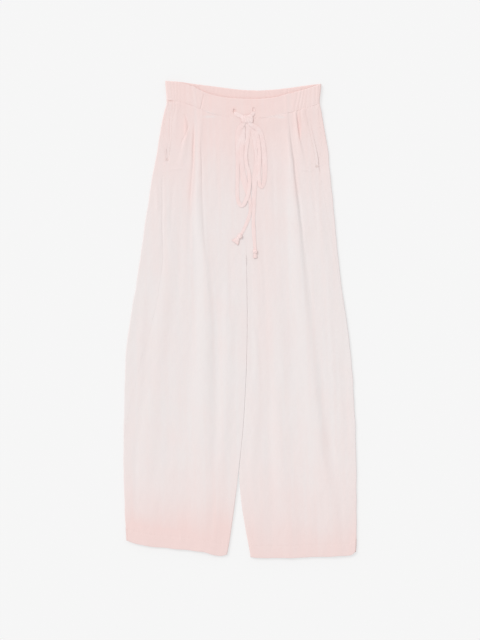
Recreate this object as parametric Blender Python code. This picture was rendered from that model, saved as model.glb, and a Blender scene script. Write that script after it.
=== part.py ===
"""Wide-leg drawstring trousers, laid flat on their back.

The waist points to +Y, the hems to -Y, and +Z is up from the surface that the trousers lie on.
Plans and tables are in millimetres. "across" runs to the right from the middle of the waist, and
"down" runs from the waist's highest corner towards the hems. Lengths in the mesh are in metres.
Each leg is a flattened tube: a ring of cloth round a row across the leg, split at its seams into a
front panel and a back panel.
"""

import math

import bmesh
import bpy
import numpy as np

MM = 0.001

# Cloth, seams and edges
CLOTH = 1.2
HEM_CLOTH = 1.8
HEM_STEP = 0.4
SEAM_GAP = 0.3
PLEAT_LAYERS = 2.4  # the cloth folded under a pleat adds up to this to the wall
EDGE_RUN = 4.2  # how far the rounded edge of a leg reaches inwards
EDGE_MIDDLE = 2.5  # height of the middle of that edge
EDGE_ARC = EDGE_RUN * math.pi / 2
RIM_STEP = 0.1
INNER_RIM = 0.24  # from the middle of the inner edge to each rim of the seam there
GUIDE_APART = 2.5  # the least distance between two guide lines of a panel's columns
LEG_GAP = 0.4  # between the two legs, along the middle seams and where the legs lie side by side

# Waistband
BAND_HEIGHT = 42.0
BAND_THICK = 3.0
BAND_FOLD = 2.2  # radius of the middle of the band's thickness round the side fold
BAND_MIDDLE = BAND_FOLD + BAND_THICK / 2
FLAT_FRONT = 84.0  # half the width of the ungathered front of the band
GATHER_PITCH = 9.0
BACK_PITCH = 11.5
BACK_GATHER = 0.8
SIDE_GATHERS = {-1: 0.9, 1: 1.5}
SIDE_SEAM_DOWN = 46.0  # the band's lower seam at the side folds
SIDE_BAND_DOWN = 20.0  # the band's upper part at the side folds
BUTTONHOLES = ((-21.8, 64.7), (21.5, 60.0))
BUTTONHOLE_SIZE = (2.0, 10.0)

# Drawstring
TIE_THICK = 5.5
TIE_STEP = 1.9  # points along a tie, in diameters
TIE_CLEAR = 0.45

# Crotch: shares of the leg's length between which the joined hips part into two legs
CROTCH_FROM = 0.305
CROTCH_TO = 0.345
POCKET_END = 0.135
POCKET_FADE = 0.158
POCKET_TUCK = 8.0
PLEATS_OPEN = (220.0, 340.0)  # the cloth folded under the pleats runs out between these
WRAP_COLUMNS = ("round_the_edge", "rolled_over")
WRAP = ((1.0, 1.0), (0.9, 0.5), (0.8, 0.0), (0.55, 0.0), (0.28, 0.0))

# The silhouette at each distance down, across from the middle of the waist
OUTLINE_COLUMNS = ("down", "left_out", "left_in", "right_in", "right_out")
OUTLINE = (
    (0, -169.5, 1.0, 1.0, 164.5),
    (20, -169.5, 1.0, 1.0, 166.5),
    (46, -166.8, 1.0, 1.0, 162.8),
    (68, -172.0, 1.0, 1.0, 167.5),
    (106, -179.5, 1.4, 1.4, 173.8),
    (150, -186.5, 2.0, 2.0, 180.5),
    (192, -194.8, 2.5, 2.5, 185.0),
    (257, -206.0, 3.2, 3.2, 191.5),
    (343, -218.5, 4.7, 4.7, 199.5),
    (429, -231.0, 6.2, 6.2, 208.5),
    (515, -245.5, 7.2, 7.2, 221.0),
    (601, -255.8, 5.8, 5.8, 231.8),
    (690, -258.4, 1.8, 1.8, 237.0),
    (754, -259.2, -2.4, -2.4, 240.4),
    (815, -259.2, -8.8, -8.6, 242.0),
    (845, -259.2, -12.2, -10.4, 242.4),
    (903, -257.4, -18.6, -6.2, 242.4),
    (960, -255.0, -26.4, 2.4, 242.4),
    (1004, -252.4, -33.2, 10.6, 241.8),
    (1030, -251.0, -38.6, 15.4, 238.6),
)

# The waistband's two upper edges: how far down they lie at each place across
BAND_COLUMNS = ("across", "front_top", "back_top")
BAND = (
    (-169.5, 0.0, 0.0),
    (-146.0, 2.6, 1.2),
    (-130.0, 6.0, 3.0),
    (-112.0, 11.5, 5.8),
    (-78.0, 27.0, 10.2),
    (-43.0, 35.5, 14.6),
    (-9.0, 38.4, 18.8),
    (26.0, 39.2, 20.6),
    (60.0, 36.6, 19.0),
    (95.0, 28.0, 15.4),
    (129.0, 19.0, 10.4),
    (150.0, 12.0, 7.6),
    (166.5, 6.5, 6.5),
)

# The hem line of each leg, from its outer edge to its inner one
HEM_COLUMNS = ("share", "left", "right")
HEM = (
    (0.0, 987.0, 1012.0),
    (0.05, 992.0, 1020.6),
    (0.12, 997.2, 1022.4),
    (0.4, 1005.2, 1024.0),
    (0.65, 1010.6, 1026.2),
    (0.76, 1013.6, 1026.4),
    (0.87, 1020.2, 1026.4),
    (0.94, 1022.0, 1026.0),
    (1.0, 1019.0, 1024.0),
)

# The outer seams, in from the silhouette: the side seam, which has rolled to the front at the hip,
# and the slanted edge of the pocket, which meets it at the pocket's lower end
SIDE_COLUMNS = ("down", "left_seam", "left_pocket", "right_seam", "right_pocket")
SIDE = (
    (45, 5.0, 15.0, 7.0, 27.0),
    (80, 5.0, 14.5, 8.0, 26.5),
    (130, 9.5, 20.0, 11.0, 24.5),
    (170, 20.5, 20.5, 23.0, 23.0),
    (200, 21.5, 21.5, 21.0, 21.0),
    (284, 33.0, 33.0, 15.0, 15.0),
    (390, 49.0, 49.0, 6.0, 6.0),
    (460, 50.0, 50.0, 2.6, 2.6),
    (530, 45.0, 45.0, 1.4, 1.4),
    (610, 31.0, 31.0, 1.2, 1.2),
    (700, 12.0, 12.0, 1.2, 1.2),
    (780, 1.2, 1.2, 1.2, 1.2),
    (1030, 1.2, 1.2, 1.2, 1.2),
)

# Height of the front's outer face above the floor, before folds
LOFT_COLUMNS = ("down", "height")
LOFT = (
    (40, 6.6),
    (90, 6.2),
    (160, 5.6),
    (260, 5.2),
    (420, 5.0),
    (900, 5.0),
    (1030, 5.3),
)

# Folds of the front panels. Each runs down one leg (-1 left, 1 right); a row gives where its crest
# lies, as a share of the leg's width from the outer edge, its height, and how far it slopes away
# to the outer and to the inner side. A trough has a negative height.
FOLD_COLUMNS = ("down", "share", "height", "outer_slope", "inner_slope")
INNER_PLEATS = {
    -1: (
        (60, 0.425, 1.2, 4, 10),
        (110, 0.430, 3.4, 4, 10),
        (170, 0.434, 4.0, 5, 20),
        (259, 0.457, 4.0, 8, 26),
        (320, 0.515, 3.8, 16, 28),
        (400, 0.570, 3.8, 24, 28),
        (600, 0.590, 3.6, 32, 38),
        (780, 0.590, 2.8, 38, 42),
        (930, 0.580, 1.6, 42, 46),
        (1040, 0.575, 1.4, 44, 48),
    ),
    1: (
        (60, 0.440, 1.2, 3, 14),
        (110, 0.440, 3.6, 3, 16),
        (175, 0.435, 4.2, 4, 20),
        (260, 0.430, 4.0, 6, 26),
        (380, 0.415, 4.0, 10, 32),
        (550, 0.390, 4.0, 18, 40),
        (760, 0.330, 3.6, 24, 44),
        (920, 0.270, 2.6, 28, 44),
        (1040, 0.250, 2.0, 28, 44),
    ),
}
OUTER_PLEATS = {
    -1: (
        (60, 0.255, 1.2, 4, 6),
        (85, 0.275, 3.0, 4, 8),
        (115, 0.300, 3.2, 4, 10),
        (150, 0.290, 1.8, 7, 12),
        (205, 0.270, 0.0, 12, 14),
        (1040, 0.250, 0.0, 24, 24),
    ),
    1: (
        (60, 0.325, 1.2, 4, 7),
        (85, 0.330, 2.8, 4, 9),
        (120, 0.325, 3.0, 4, 11),
        (160, 0.315, 1.8, 7, 13),
        (215, 0.280, 0.0, 12, 16),
        (600, 0.160, 0.0, 18, 18),
        (1040, 0.080, 0.0, 10, 10),
    ),
}
SOFT_FOLDS = (
    (
        -1,
        (
            (40, 0.150, 1.0, 6, 7),
            (70, 0.155, 1.6, 7, 8),
            (130, 0.175, 0.0, 8, 9),
        ),
    ),
    (
        1,
        (
            (40, 0.225, 1.2, 6, 7),
            (70, 0.225, 1.8, 6, 8),
            (125, 0.215, 0.0, 8, 9),
        ),
    ),
    (
        -1,
        (
            (400, 0.820, 0.0, 14, 16),
            (520, 0.830, 1.8, 18, 20),
            (720, 0.840, 2.2, 20, 22),
            (900, 0.850, 1.2, 20, 20),
            (1040, 0.850, 0.8, 20, 20),
        ),
    ),
    (
        -1,
        (
            (250, 0.160, 0.0, 14, 18),
            (380, 0.270, 1.8, 18, 22),
            (520, 0.260, 2.4, 22, 26),
            (760, 0.220, 2.0, 26, 30),
            (940, 0.200, 1.0, 26, 32),
            (1040, 0.190, 0.6, 26, 32),
        ),
    ),
    (
        1,
        (
            (380, 0.900, 0.0, 12, 14),
            (540, 0.905, 1.2, 14, 14),
            (780, 0.900, 1.6, 18, 18),
            (930, 0.890, 0.8, 18, 18),
            (1040, 0.890, 0.4, 18, 18),
        ),
    ),
    (
        1,
        (
            (420, 0.680, 0.0, 20, 20),
            (560, 0.680, 2.0, 24, 26),
            (780, 0.650, 2.6, 28, 30),
            (980, 0.620, 1.4, 30, 32),
            (1040, 0.620, 1.2, 30, 32),
        ),
    ),
    (
        1,
        (
            (200, 0.200, 0.0, 12, 14),
            (320, 0.160, 1.4, 16, 18),
            (520, 0.110, 1.0, 20, 22),
            (700, 0.100, 0.0, 20, 22),
        ),
    ),
)

# Shares of the leg's length, from the waist seam to the hem, where the rings lie
ROWS = (
    (0.0, 0.012, 0.032, 0.055, 0.08, 0.107, 0.128, POCKET_END, POCKET_FADE, 0.18, 0.21, 0.245)
    + (0.28, CROTCH_FROM, 0.325, CROTCH_TO, 0.375, 0.42, 0.47, 0.53, 0.59, 0.65, 0.71, 0.765)
    + (0.817, 0.86, 0.9, 0.94, 0.9695, 0.9708, 1.0)
)
HEM_FROM = 0.97

# The drawstring's routes. A point gives its place across and down, and the height of the tie's
# underside above the cloth that it lies on.
ROUTES = {
    "tie_exit_left": (
        (-21.8, 64.7, 0.0),
        (-18.0, 67.5, 0.6),
        (-13.5, 71.5, 1.4),
        (-8.2, 76.0, 3.0),
    ),
    "tie_exit_right": (
        (21.5, 60.0, -0.15),
        (21.5, 63.5, 0.2),
        (20.2, 68.0, 1.8),
        (17.0, 72.6, 3.4),
    ),
    "tie_loop_left": (
        (-1.5, 94.0, 6.2),
        (-5.6, 98.4, 6.4),
        (-10.2, 106.0, 2.8),
        (-12.2, 118.0, 0.3),
        (-12.4, 135.0, 0.0),
        (-12.6, 160.0, 0.0),
        (-13.6, 195.0, 0.0),
        (-14.4, 238.0, 0.0),
        (-13.2, 256.0, 0.0),
        (-8.8, 267.0, 0.4),
        (-3.2, 268.6, 1.6),
        (1.8, 262.4, 4.0),
        (5.4, 254.6, 6.0),
        (8.2, 246.6, 6.4),
        (10.4, 236.0, 6.2),
        (11.7, 224.0, 3.4),
        (11.9, 210.0, 0.6),
        (10.6, 197.0, 0.0),
        (6.8, 184.0, 0.0),
        (4.2, 168.0, 0.0),
        (4.4, 150.0, 0.0),
        (6.6, 132.0, 0.0),
        (8.6, 114.0, 0.0),
        (7.8, 103.0, 0.0),
        (4.6, 94.0, 0.2),
    ),
    "tie_loop_right": (
        (13.6, 94.6, 6.0),
        (19.0, 97.4, 6.2),
        (25.0, 101.0, 6.5),
        (31.5, 106.5, 3.0),
        (36.4, 114.0, 0.4),
        (39.4, 126.0, 0.0),
        (41.6, 142.0, 0.0),
        (43.6, 162.0, 0.0),
        (45.0, 188.0, 0.0),
        (44.4, 208.0, 0.0),
        (42.4, 222.0, 0.0),
        (38.0, 229.6, 0.0),
        (33.9, 223.0, 0.0),
        (32.6, 208.0, 0.0),
        (32.4, 190.0, 0.0),
        (33.4, 168.0, 0.0),
        (33.0, 149.0, 0.0),
        (30.8, 131.0, 0.0),
        (27.8, 115.0, 0.0),
        (25.2, 105.6, 0.0),
        (22.0, 99.4, 0.0),
        (18.2, 93.4, 0.2),
    ),
    "tie_tail_left": (
        (-1.6, 94.0, 0.2),
        (-2.0, 106.0, 0.0),
        (-2.4, 124.0, 0.0),
        (-4.2, 148.0, 0.0),
        (-4.7, 170.0, 0.0),
        (-3.0, 196.0, 0.0),
        (1.2, 218.0, 0.0),
        (7.4, 239.0, 0.0),
        (12.6, 258.0, 0.0),
        (14.0, 276.0, 0.0),
        (11.4, 292.0, 0.0),
        (6.6, 305.0, 0.0),
        (0.8, 318.0, 0.0),
        (-5.4, 330.5, 0.0),
    ),
    "tie_tail_right": (
        (10.9, 94.0, 0.2),
        (13.4, 99.4, 0.0),
        (17.0, 106.0, 0.0),
        (20.4, 116.0, 0.0),
        (23.0, 130.0, 0.0),
        (25.4, 149.0, 0.0),
        (26.4, 169.0, 0.0),
        (25.6, 191.0, 0.0),
        (23.4, 215.0, 0.0),
        (21.9, 245.0, 0.0),
        (21.4, 272.0, 0.0),
        (20.4, 300.0, 0.0),
        (21.4, 330.0, 0.0),
        (24.1, 363.5, 0.0),
    ),
}

# The knotted, flared ends: where each starts, which way it points, and its sections along it
END_COLUMNS = ("along", "width", "thick")
END_LEFT = ((0, 5, 4.5), (2.5, 9, 7), (6.5, 9.5, 7.4), (9.5, 6, 4), (14, 11, 3), (22, 18, 2.4))
END_RIGHT = ((0, 5, 4.5), (2.5, 8.5, 7), (6, 8.5, 7), (8.5, 5, 4), (12, 7, 3.4), (17, 8, 3))
TIE_ENDS = {
    "tie_end_left": ((-5.8, 331.2), (-0.62, 0.785), END_LEFT),
    "tie_end_right": ((24.1, 364.2), (0.0, 1.0), END_RIGHT),
}
KNOT_MIDDLE = (6.6, 83.2)
KNOT_HALF = (13.0, 9.8, 5.4)

COLOURS = {
    "cloth": (0.87, 0.76, 0.74),
    "band": (0.87, 0.69, 0.67),
    "tie": (0.88, 0.66, 0.64),
}


def column(table, names, name):
    """One named column of a table."""
    return np.array([row[names.index(name)] for row in table], float)


def through(places, values, at):
    """A smooth curve through the values, which doesn't swing past them: cubic pieces whose slope
    at each place is the harmonic mean of the slopes on its two sides, and none at a turn."""
    at = np.clip(at, places[0], places[-1])
    step = np.diff(places)
    rise = np.diff(values) / step
    both = rise[:-1] * rise[1:]
    inner = np.where(both > 0, 2 * both / np.where(both > 0, rise[:-1] + rise[1:], 1.0), 0.0)
    slope = np.concatenate([[rise[0]], inner, [rise[-1]]])
    i = np.clip(np.searchsorted(places, at, side="right") - 1, 0, len(step) - 1)
    t = (at - places[i]) / step[i]
    start = (1 + 2 * t) * (1 - t) ** 2 * values[i] + t * (1 - t) ** 2 * step[i] * slope[i]
    end = t**2 * (3 - 2 * t) * values[i + 1] + t**2 * (t - 1) * step[i] * slope[i + 1]
    return start + end


def look_up(table, names, name, at):
    return through(column(table, names, names[0]), column(table, names, name), np.asarray(at, float))


def side_name(leg):
    return "left" if leg < 0 else "right"


def soft_step(low, high, value):
    """0 below low, 1 above high, and a smooth rise between."""
    t = np.clip((value - low) / (high - low), 0, 1)
    return t * t * (3 - 2 * t)


def outer_line(leg, down):
    return look_up(OUTLINE, OUTLINE_COLUMNS, side_name(leg) + "_out", down)


def inner_line(leg, down):
    """The inner edge of a leg, half the gap between the legs away from their shared line."""
    middle = look_up(OUTLINE, OUTLINE_COLUMNS, side_name(leg) + "_in", down)
    return middle + leg * LEG_GAP / 2


def band_line(face, across):
    return look_up(BAND, BAND_COLUMNS, face + "_top", across)


def fold_height(rows, leg, share, down):
    """A fold's height: its crest's height times a squared cosine of the distance from the crest,
    measured in its slope's width on that side."""
    down = np.clip(down, rows[0][0], rows[-1][0])
    width = np.abs(inner_line(leg, down) - outer_line(leg, down))
    away = (share - look_up(rows, FOLD_COLUMNS, "share", down)) * width
    outer = look_up(rows, FOLD_COLUMNS, "outer_slope", down)
    inner = look_up(rows, FOLD_COLUMNS, "inner_slope", down)
    near = np.clip(np.abs(away) / np.where(away < 0, outer, inner), 0, 1)
    return look_up(rows, FOLD_COLUMNS, "height", down) * np.cos(near * math.pi / 2) ** 2


def front_height(leg, share, down):
    """The front's outer face above the floor, from its loft and its folds."""
    share = np.asarray(share, float)
    down = np.asarray(down, float)
    height = look_up(LOFT, LOFT_COLUMNS, "height", down)
    height = height + fold_height(INNER_PLEATS[leg], leg, share, down)
    height = height + fold_height(OUTER_PLEATS[leg], leg, share, down)
    for fold_leg, rows in SOFT_FOLDS:
        if fold_leg == leg:
            height = height + fold_height(rows, leg, share, down)
    return height


def cloth_top(across, down):
    """The upper face of the trousers' front at a place, on the waistband or on a panel."""
    band_top = BAND_MIDDLE + BAND_FOLD + BAND_THICK / 2
    if down < band_line("front", across) + BAND_HEIGHT + 1:
        return band_top
    leg = -1 if across < inner_line(-1, down) else 1
    width = inner_line(leg, down) - outer_line(leg, down)
    share = (across - outer_line(leg, down)) / width
    return float(front_height(leg, share, down))


def edge(run):
    """A rounded edge unrolled: for a distance along the cloth from the edge's middle, how far in
    the cloth lies (EDGE_RUN * (1 - cos)) and how much of its full height it has (sin)."""
    angle = np.clip(run / EDGE_RUN, 0, math.pi / 2)
    return EDGE_RUN * (1 - np.cos(angle)) + np.maximum(run - EDGE_ARC, 0), np.sin(angle)


def row_ends(leg, share_down, top_face):
    """For each row: how far down its outer and inner ends lie, and where they are across."""
    outer_top = band_line(top_face, outer_line(leg, SIDE_SEAM_DOWN)) + BAND_HEIGHT + SEAM_GAP
    inner_top = band_line(top_face, inner_line(leg, SIDE_SEAM_DOWN)) + BAND_HEIGHT + SEAM_GAP
    hem = [look_up(HEM, HEM_COLUMNS, side_name(leg), share) for share in (0.0, 1.0)]
    outer_down = outer_top + (hem[0] - outer_top) * share_down
    inner_down = inner_top + (hem[1] - inner_top) * share_down
    return outer_line(leg, outer_down), inner_line(leg, inner_down)


def ring_plan(leg, runs, top_face):
    """Where points of a leg's flattened ring lie. runs holds, for each row, distances along the
    cloth from the middle of the outer edge. The result is how far across and down each point is,
    its share of the leg's width, and its share of the full height at the leg's rounded edges.
    The inner edge is rounded below the crotch and runs flat to the middle seam above it."""
    v = np.array(ROWS)[:, None] * np.ones_like(runs)
    x_out, x_in = row_ends(leg, v, top_face)
    width = np.abs(x_in - x_out)
    length = width + 2 * (EDGE_ARC - EDGE_RUN)
    near_outer, outer_lift = edge(runs)
    near_inner, inner_lift = edge(length - runs)
    share = np.where(runs < length / 2, near_outer, width - near_inner) / width
    ends = outer_line(leg, SIDE_SEAM_DOWN), inner_line(leg, SIDE_SEAM_DOWN)
    top_across = (1 - share) * ends[0] + share * ends[1]
    top = band_line(top_face, top_across) + BAND_HEIGHT + SEAM_GAP
    down = (1 - v) * top + v * look_up(HEM, HEM_COLUMNS, side_name(leg), share)
    legs_part = soft_step(CROTCH_FROM, CROTCH_TO, v)
    lift = outer_lift * (1 - legs_part * (1 - inner_lift))
    return x_out + (x_in - x_out) * share, down, share, lift


def over_the_top(leg, runs, wrap=False):
    """The ring's points over the top of the leg. wrap gives the cloth that comes round the side,
    which lies under the pocket's edge by the thickness of that edge."""
    across, down, share, lift = ring_plan(leg, runs, "front")
    v = np.array(ROWS)[:, None]
    height = front_height(leg, share, down) + HEM_STEP * (v > HEM_FROM)
    if wrap:
        height = height - (CLOTH + 2 * SEAM_GAP) * (1 - soft_step(POCKET_END, POCKET_FADE, v))
    height = EDGE_MIDDLE + (height - EDGE_MIDDLE) * lift
    return np.stack([across, -down, height], axis=-1)


def underneath(leg, runs):
    """The ring's points along the floor."""
    across, down, _, lift = ring_plan(leg, runs, "back")
    return np.stack([across, -down, EDGE_MIDDLE * (1 - lift)], axis=-1)


def seam_runs(leg, edge_name):
    """How far along the cloth from the outer edge's middle a seam lies, at each row."""
    v = np.array(ROWS)
    outer_top = band_line("front", outer_line(leg, SIDE_SEAM_DOWN)) + BAND_HEIGHT
    down = outer_top + (look_up(HEM, HEM_COLUMNS, side_name(leg), 0.0) - outer_top) * v
    inwards = look_up(SIDE, SIDE_COLUMNS, side_name(leg) + "_" + edge_name, down)
    return np.where(inwards > EDGE_RUN, inwards + EDGE_ARC - EDGE_RUN, inwards * EDGE_ARC / EDGE_RUN)


def pleat_runs(leg, rows):
    """How far along the cloth a pleat's outer foot, crest and inner foot lie, at each row."""
    v = np.array(ROWS)
    x_out, x_in = row_ends(leg, v, "front")
    width = np.abs(x_in - x_out)
    top = band_line("front", leg * FLAT_FRONT) + BAND_HEIGHT
    down = top + (look_up(HEM, HEM_COLUMNS, side_name(leg), 0.5) - top) * v
    crest = look_up(rows, FOLD_COLUMNS, "share", down) * width
    outer = crest - look_up(rows, FOLD_COLUMNS, "outer_slope", down)
    inner = crest + look_up(rows, FOLD_COLUMNS, "inner_slope", down)
    return [run + EDGE_ARC - EDGE_RUN for run in (outer, crest, inner)]


def between(guides, counts):
    """Columns at the guide lines, with counts[k] even intervals from guide k to guide k + 1."""
    runs = []
    for start, end, count in zip(guides[:-1], guides[1:], counts):
        runs += [start + (end - start) * k / count for k in range(count)]
    return np.stack(runs + [guides[-1]], axis=-1)


def in_order(guides):
    """The guide lines, each moved to lie far enough beyond the one before it."""
    ordered = guides[:1]
    for guide in guides[1:]:
        ordered.append(np.maximum(guide, ordered[-1] + GUIDE_APART))
    return ordered


def plain_thickness(runs):
    """The cloth's thickness at each row, which is more along the turned hem."""
    rows = np.where(np.array(ROWS) > HEM_FROM, HEM_CLOTH, CLOTH)
    return rows[:, None] * np.ones(runs.shape[1])


def pleated_thickness(leg, runs):
    """The thickness of the front, with the cloth that is folded under its pleats."""
    _, down, share, _ = ring_plan(leg, runs, "front")
    folded = fold_height(INNER_PLEATS[leg], leg, share, down)
    folded = folded + fold_height(OUTER_PLEATS[leg], leg, share, down)
    folded = np.clip(folded, 0, PLEAT_LAYERS) * (1 - soft_step(*PLEATS_OPEN, down))
    return plain_thickness(runs) + folded


def wall(outer, rims, thickness, turned):
    """Rings of a cloth wall, a ring for each row: the outer face, then the inner face back again.
    The inner face lies in from the outer one, square to the bisector of the neighbouring
    stretches, and at the panel's two rims square to the directions in rims."""
    along = np.gradient(outer, axis=0)
    stretch = np.diff(outer, axis=1)
    facing = np.cross((along[:, :-1] + along[:, 1:]) / 2, stretch) * turned
    facing = facing / np.linalg.norm(facing, axis=-1, keepdims=True)
    bisector = facing[:, :-1] + facing[:, 1:]
    ends = np.cross(along[:, [0, -1]], rims) * turned
    normal = np.concatenate([ends[:, :1], bisector, ends[:, 1:]], axis=1)
    normal = normal / np.linalg.norm(normal, axis=-1, keepdims=True)
    after = np.concatenate([facing, facing[:, -1:]], axis=1)
    mitre = np.clip((normal * after).sum(-1, keepdims=True), 0.75, 1)
    inner = outer - normal * thickness[..., None] / mitre
    return np.concatenate([outer, inner[:, ::-1]], axis=1)


def rim_way(points, leg, runs, towards):
    """The direction of the ring at a seam, across the panel, from points a little either side."""
    return points(leg, runs + towards * RIM_STEP) - points(leg, runs - towards * RIM_STEP)


def colour(name):
    material = bpy.data.materials.get(name)
    if material is None:
        material = bpy.data.materials.new(name)
        material.use_nodes = True
        shader = material.node_tree.nodes["Principled BSDF"]
        shader.inputs["Base Color"].default_value = (*COLOURS[name], 1)
        shader.inputs["Roughness"].default_value = 0.9
        shader.inputs["Metallic"].default_value = 0
    return material


def place(points):
    """From millimetres across, down and up to the part's own frame, in metres."""
    middle_x = (column(OUTLINE, OUTLINE_COLUMNS, "left_out").min()) / 2
    middle_x += (column(OUTLINE, OUTLINE_COLUMNS, "right_out").max()) / 2
    lowest = column(HEM, HEM_COLUMNS, "right").max()
    highest = column(BAND, BAND_COLUMNS, "back_top").min()
    return (np.asarray(points, float) - (middle_x, -(lowest + highest) / 2, 0)) * MM


def loft(name, rings, material):
    """A closed solid through rings of equal length. Each end is closed by a ladder of faces
    between the ring's first half and its second half."""
    rings = place(rings)
    rows, size = rings.shape[:2]
    faces = []
    for i in range(rows - 1):
        for k in range(size):
            a = i * size + k
            b = i * size + (k + 1) % size
            faces.append((a, b, b + size, a + size))
    for first, flip in ((0, True), ((rows - 1) * size, False)):
        for k in range(size // 2 - 1):
            quad = (first + k, first + k + 1, first + size - 2 - k, first + size - 1 - k)
            faces.append(quad[::-1] if flip else quad)
    mesh = bpy.data.meshes.new(name)
    mesh.from_pydata(rings.reshape(-1, 3).tolist(), [], faces)
    turned = bmesh.new()
    turned.from_mesh(mesh)
    if turned.calc_volume(signed=True) < 0:
        bmesh.ops.reverse_faces(turned, faces=turned.faces[:])
    turned.to_mesh(mesh)
    turned.free()
    mesh.shade_smooth()
    mesh.set_sharp_from_angle(angle=math.radians(50))
    mesh.materials.append(colour(material))
    made = bpy.data.objects.new(name, mesh)
    bpy.context.collection.objects.link(made)
    return made


def wrapped(leg, runs):
    return over_the_top(leg, runs, wrap=True)


def front_panel(leg):
    start = seam_runs(leg, "pocket") + SEAM_GAP / 2
    x_out, x_in = row_ends(leg, np.array(ROWS), "front")
    length = np.abs(x_in - x_out) + 2 * (EDGE_ARC - EDGE_RUN)
    outer_foot, outer_crest, _ = pleat_runs(leg, OUTER_PLEATS[leg])
    inner_foot, inner_crest, inner_back = pleat_runs(leg, INNER_PLEATS[leg])
    rounded = np.full(len(ROWS), EDGE_ARC)
    guides = [start, rounded, outer_foot, outer_crest, inner_foot, inner_crest, inner_back]
    guides = in_order(guides) + [length - EDGE_ARC, length - INNER_RIM]
    runs = between(guides, (2, 4, 1, 3, 1, 2, 5, 3))
    rims = rim_way(over_the_top, leg, runs[:, [0, -1]], 1)
    rings = wall(over_the_top(leg, runs), rims, pleated_thickness(leg, runs), -leg)
    loft("front_" + side_name(leg), rings, "cloth")


def back_panel(leg):
    """From the side seam over the edge, along the floor, and up to the inner leg seam."""
    seam = seam_runs(leg, "seam") - SEAM_GAP / 2
    on_arc = np.minimum(seam, EDGE_ARC)
    rolled = np.maximum(seam - EDGE_ARC, 0)
    round_share = column(WRAP, WRAP_COLUMNS, "round_the_edge")
    rolled_share = column(WRAP, WRAP_COLUMNS, "rolled_over")
    top = on_arc[:, None] * round_share + rolled[:, None] * rolled_share
    x_out, x_in = row_ends(leg, np.array(ROWS), "back")
    length = np.abs(x_in - x_out) + 2 * (EDGE_ARC - EDGE_RUN)
    none = np.zeros(len(ROWS))
    guides = [none, none + EDGE_ARC, length - EDGE_ARC, length - INNER_RIM]
    bottom = between(guides, (3, 8, 3))
    outer = np.concatenate([wrapped(leg, top), underneath(leg, bottom)], axis=1)
    first = rim_way(wrapped, leg, top[:, :1], -1)
    last = rim_way(underneath, leg, bottom[:, -1:], 1)
    rims = np.concatenate([first, last], axis=1)
    thickness = plain_thickness(np.concatenate([top, bottom], axis=1))
    loft("back_" + side_name(leg), wall(outer, rims, thickness, leg), "cloth")


def pocket_facing(leg):
    """The strip between the side seam and the pocket's slanted edge, tucked under that edge."""
    seam = seam_runs(leg, "seam") + SEAM_GAP / 2
    opening = seam_runs(leg, "pocket") + POCKET_TUCK
    runs = between([seam, opening], (4,))
    rows = ROWS.index(POCKET_END) + 1
    rims = rim_way(wrapped, leg, runs[:, [0, -1]], 1)[:rows]
    rings = wall(wrapped(leg, runs)[:rows], rims, plain_thickness(runs)[:rows], -leg)
    loft("pocket_" + side_name(leg), rings, "cloth")


# A section through the waistband: down its height, and out from the middle of its thickness
BAND_SECTION_COLUMNS = ("down", "out")
BAND_SECTION = (
    (0.0, 0.5),
    (0.04, 1.0),
    (0.5, 1.0),
    (0.96, 1.0),
    (1.0, 0.5),
    (1.0, -0.5),
    (0.96, -1.0),
    (0.5, -1.0),
    (0.04, -1.0),
    (0.0, -0.5),
)


def band_edge(side, down):
    """The side edge of the waistband, which leans a little from its top to its lower seam."""
    return outer_line(side, SIDE_BAND_DOWN + (SIDE_SEAM_DOWN - SIDE_BAND_DOWN) * down)


def band_wave(run, pitch):
    """Gathers as waves along the band, from 0 to 1, with a pitch that drifts a little."""
    turn = 2 * math.pi * (run / pitch + 0.35 * np.sin(run / 21.0))
    return (1 - np.cos(turn)) / 2 * (0.75 + 0.25 * np.sin(run / 13.0))


def side_band(side):
    """The gathered band from the side fold to the flat front. It turns round the side fold."""
    down = column(BAND_SECTION, BAND_SECTION_COLUMNS, "down")
    out = column(BAND_SECTION, BAND_SECTION_COLUMNS, "out") * BAND_THICK / 2
    arc = BAND_FOLD * math.pi / 2
    span = abs(float(band_edge(side, 0.5))) - FLAT_FRONT - SEAM_GAP
    flat = np.arange(1, round(span / GATHER_PITCH * 4) + 1) / round(span / GATHER_PITCH * 4)
    angle = np.concatenate([[0.07, 0.33, 0.66, 1.0], np.ones(len(flat))]) * math.pi / 2
    run = np.concatenate([np.zeros(4), flat])[:, None]
    swell = SIDE_GATHERS[side] * band_wave(run * span + arc, GATHER_PITCH)
    swell = swell * soft_step(0.0, 0.06, run) * soft_step(1.0, 0.9, run)
    edge_in = BAND_MIDDLE - (BAND_FOLD + out) * np.cos(angle)[:, None]
    edge_line = np.abs(band_edge(side, down))
    inwards = edge_in + run * (edge_line - FLAT_FRONT - SEAM_GAP - BAND_MIDDLE)
    across = side * (edge_line - inwards)
    height = BAND_MIDDLE + (BAND_FOLD + out) * np.sin(angle)[:, None] + swell
    front = band_line("front", across) + BAND_HEIGHT * down
    loft("waistband_" + side_name(side), np.stack([across, -front, height], axis=-1), "band")


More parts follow.
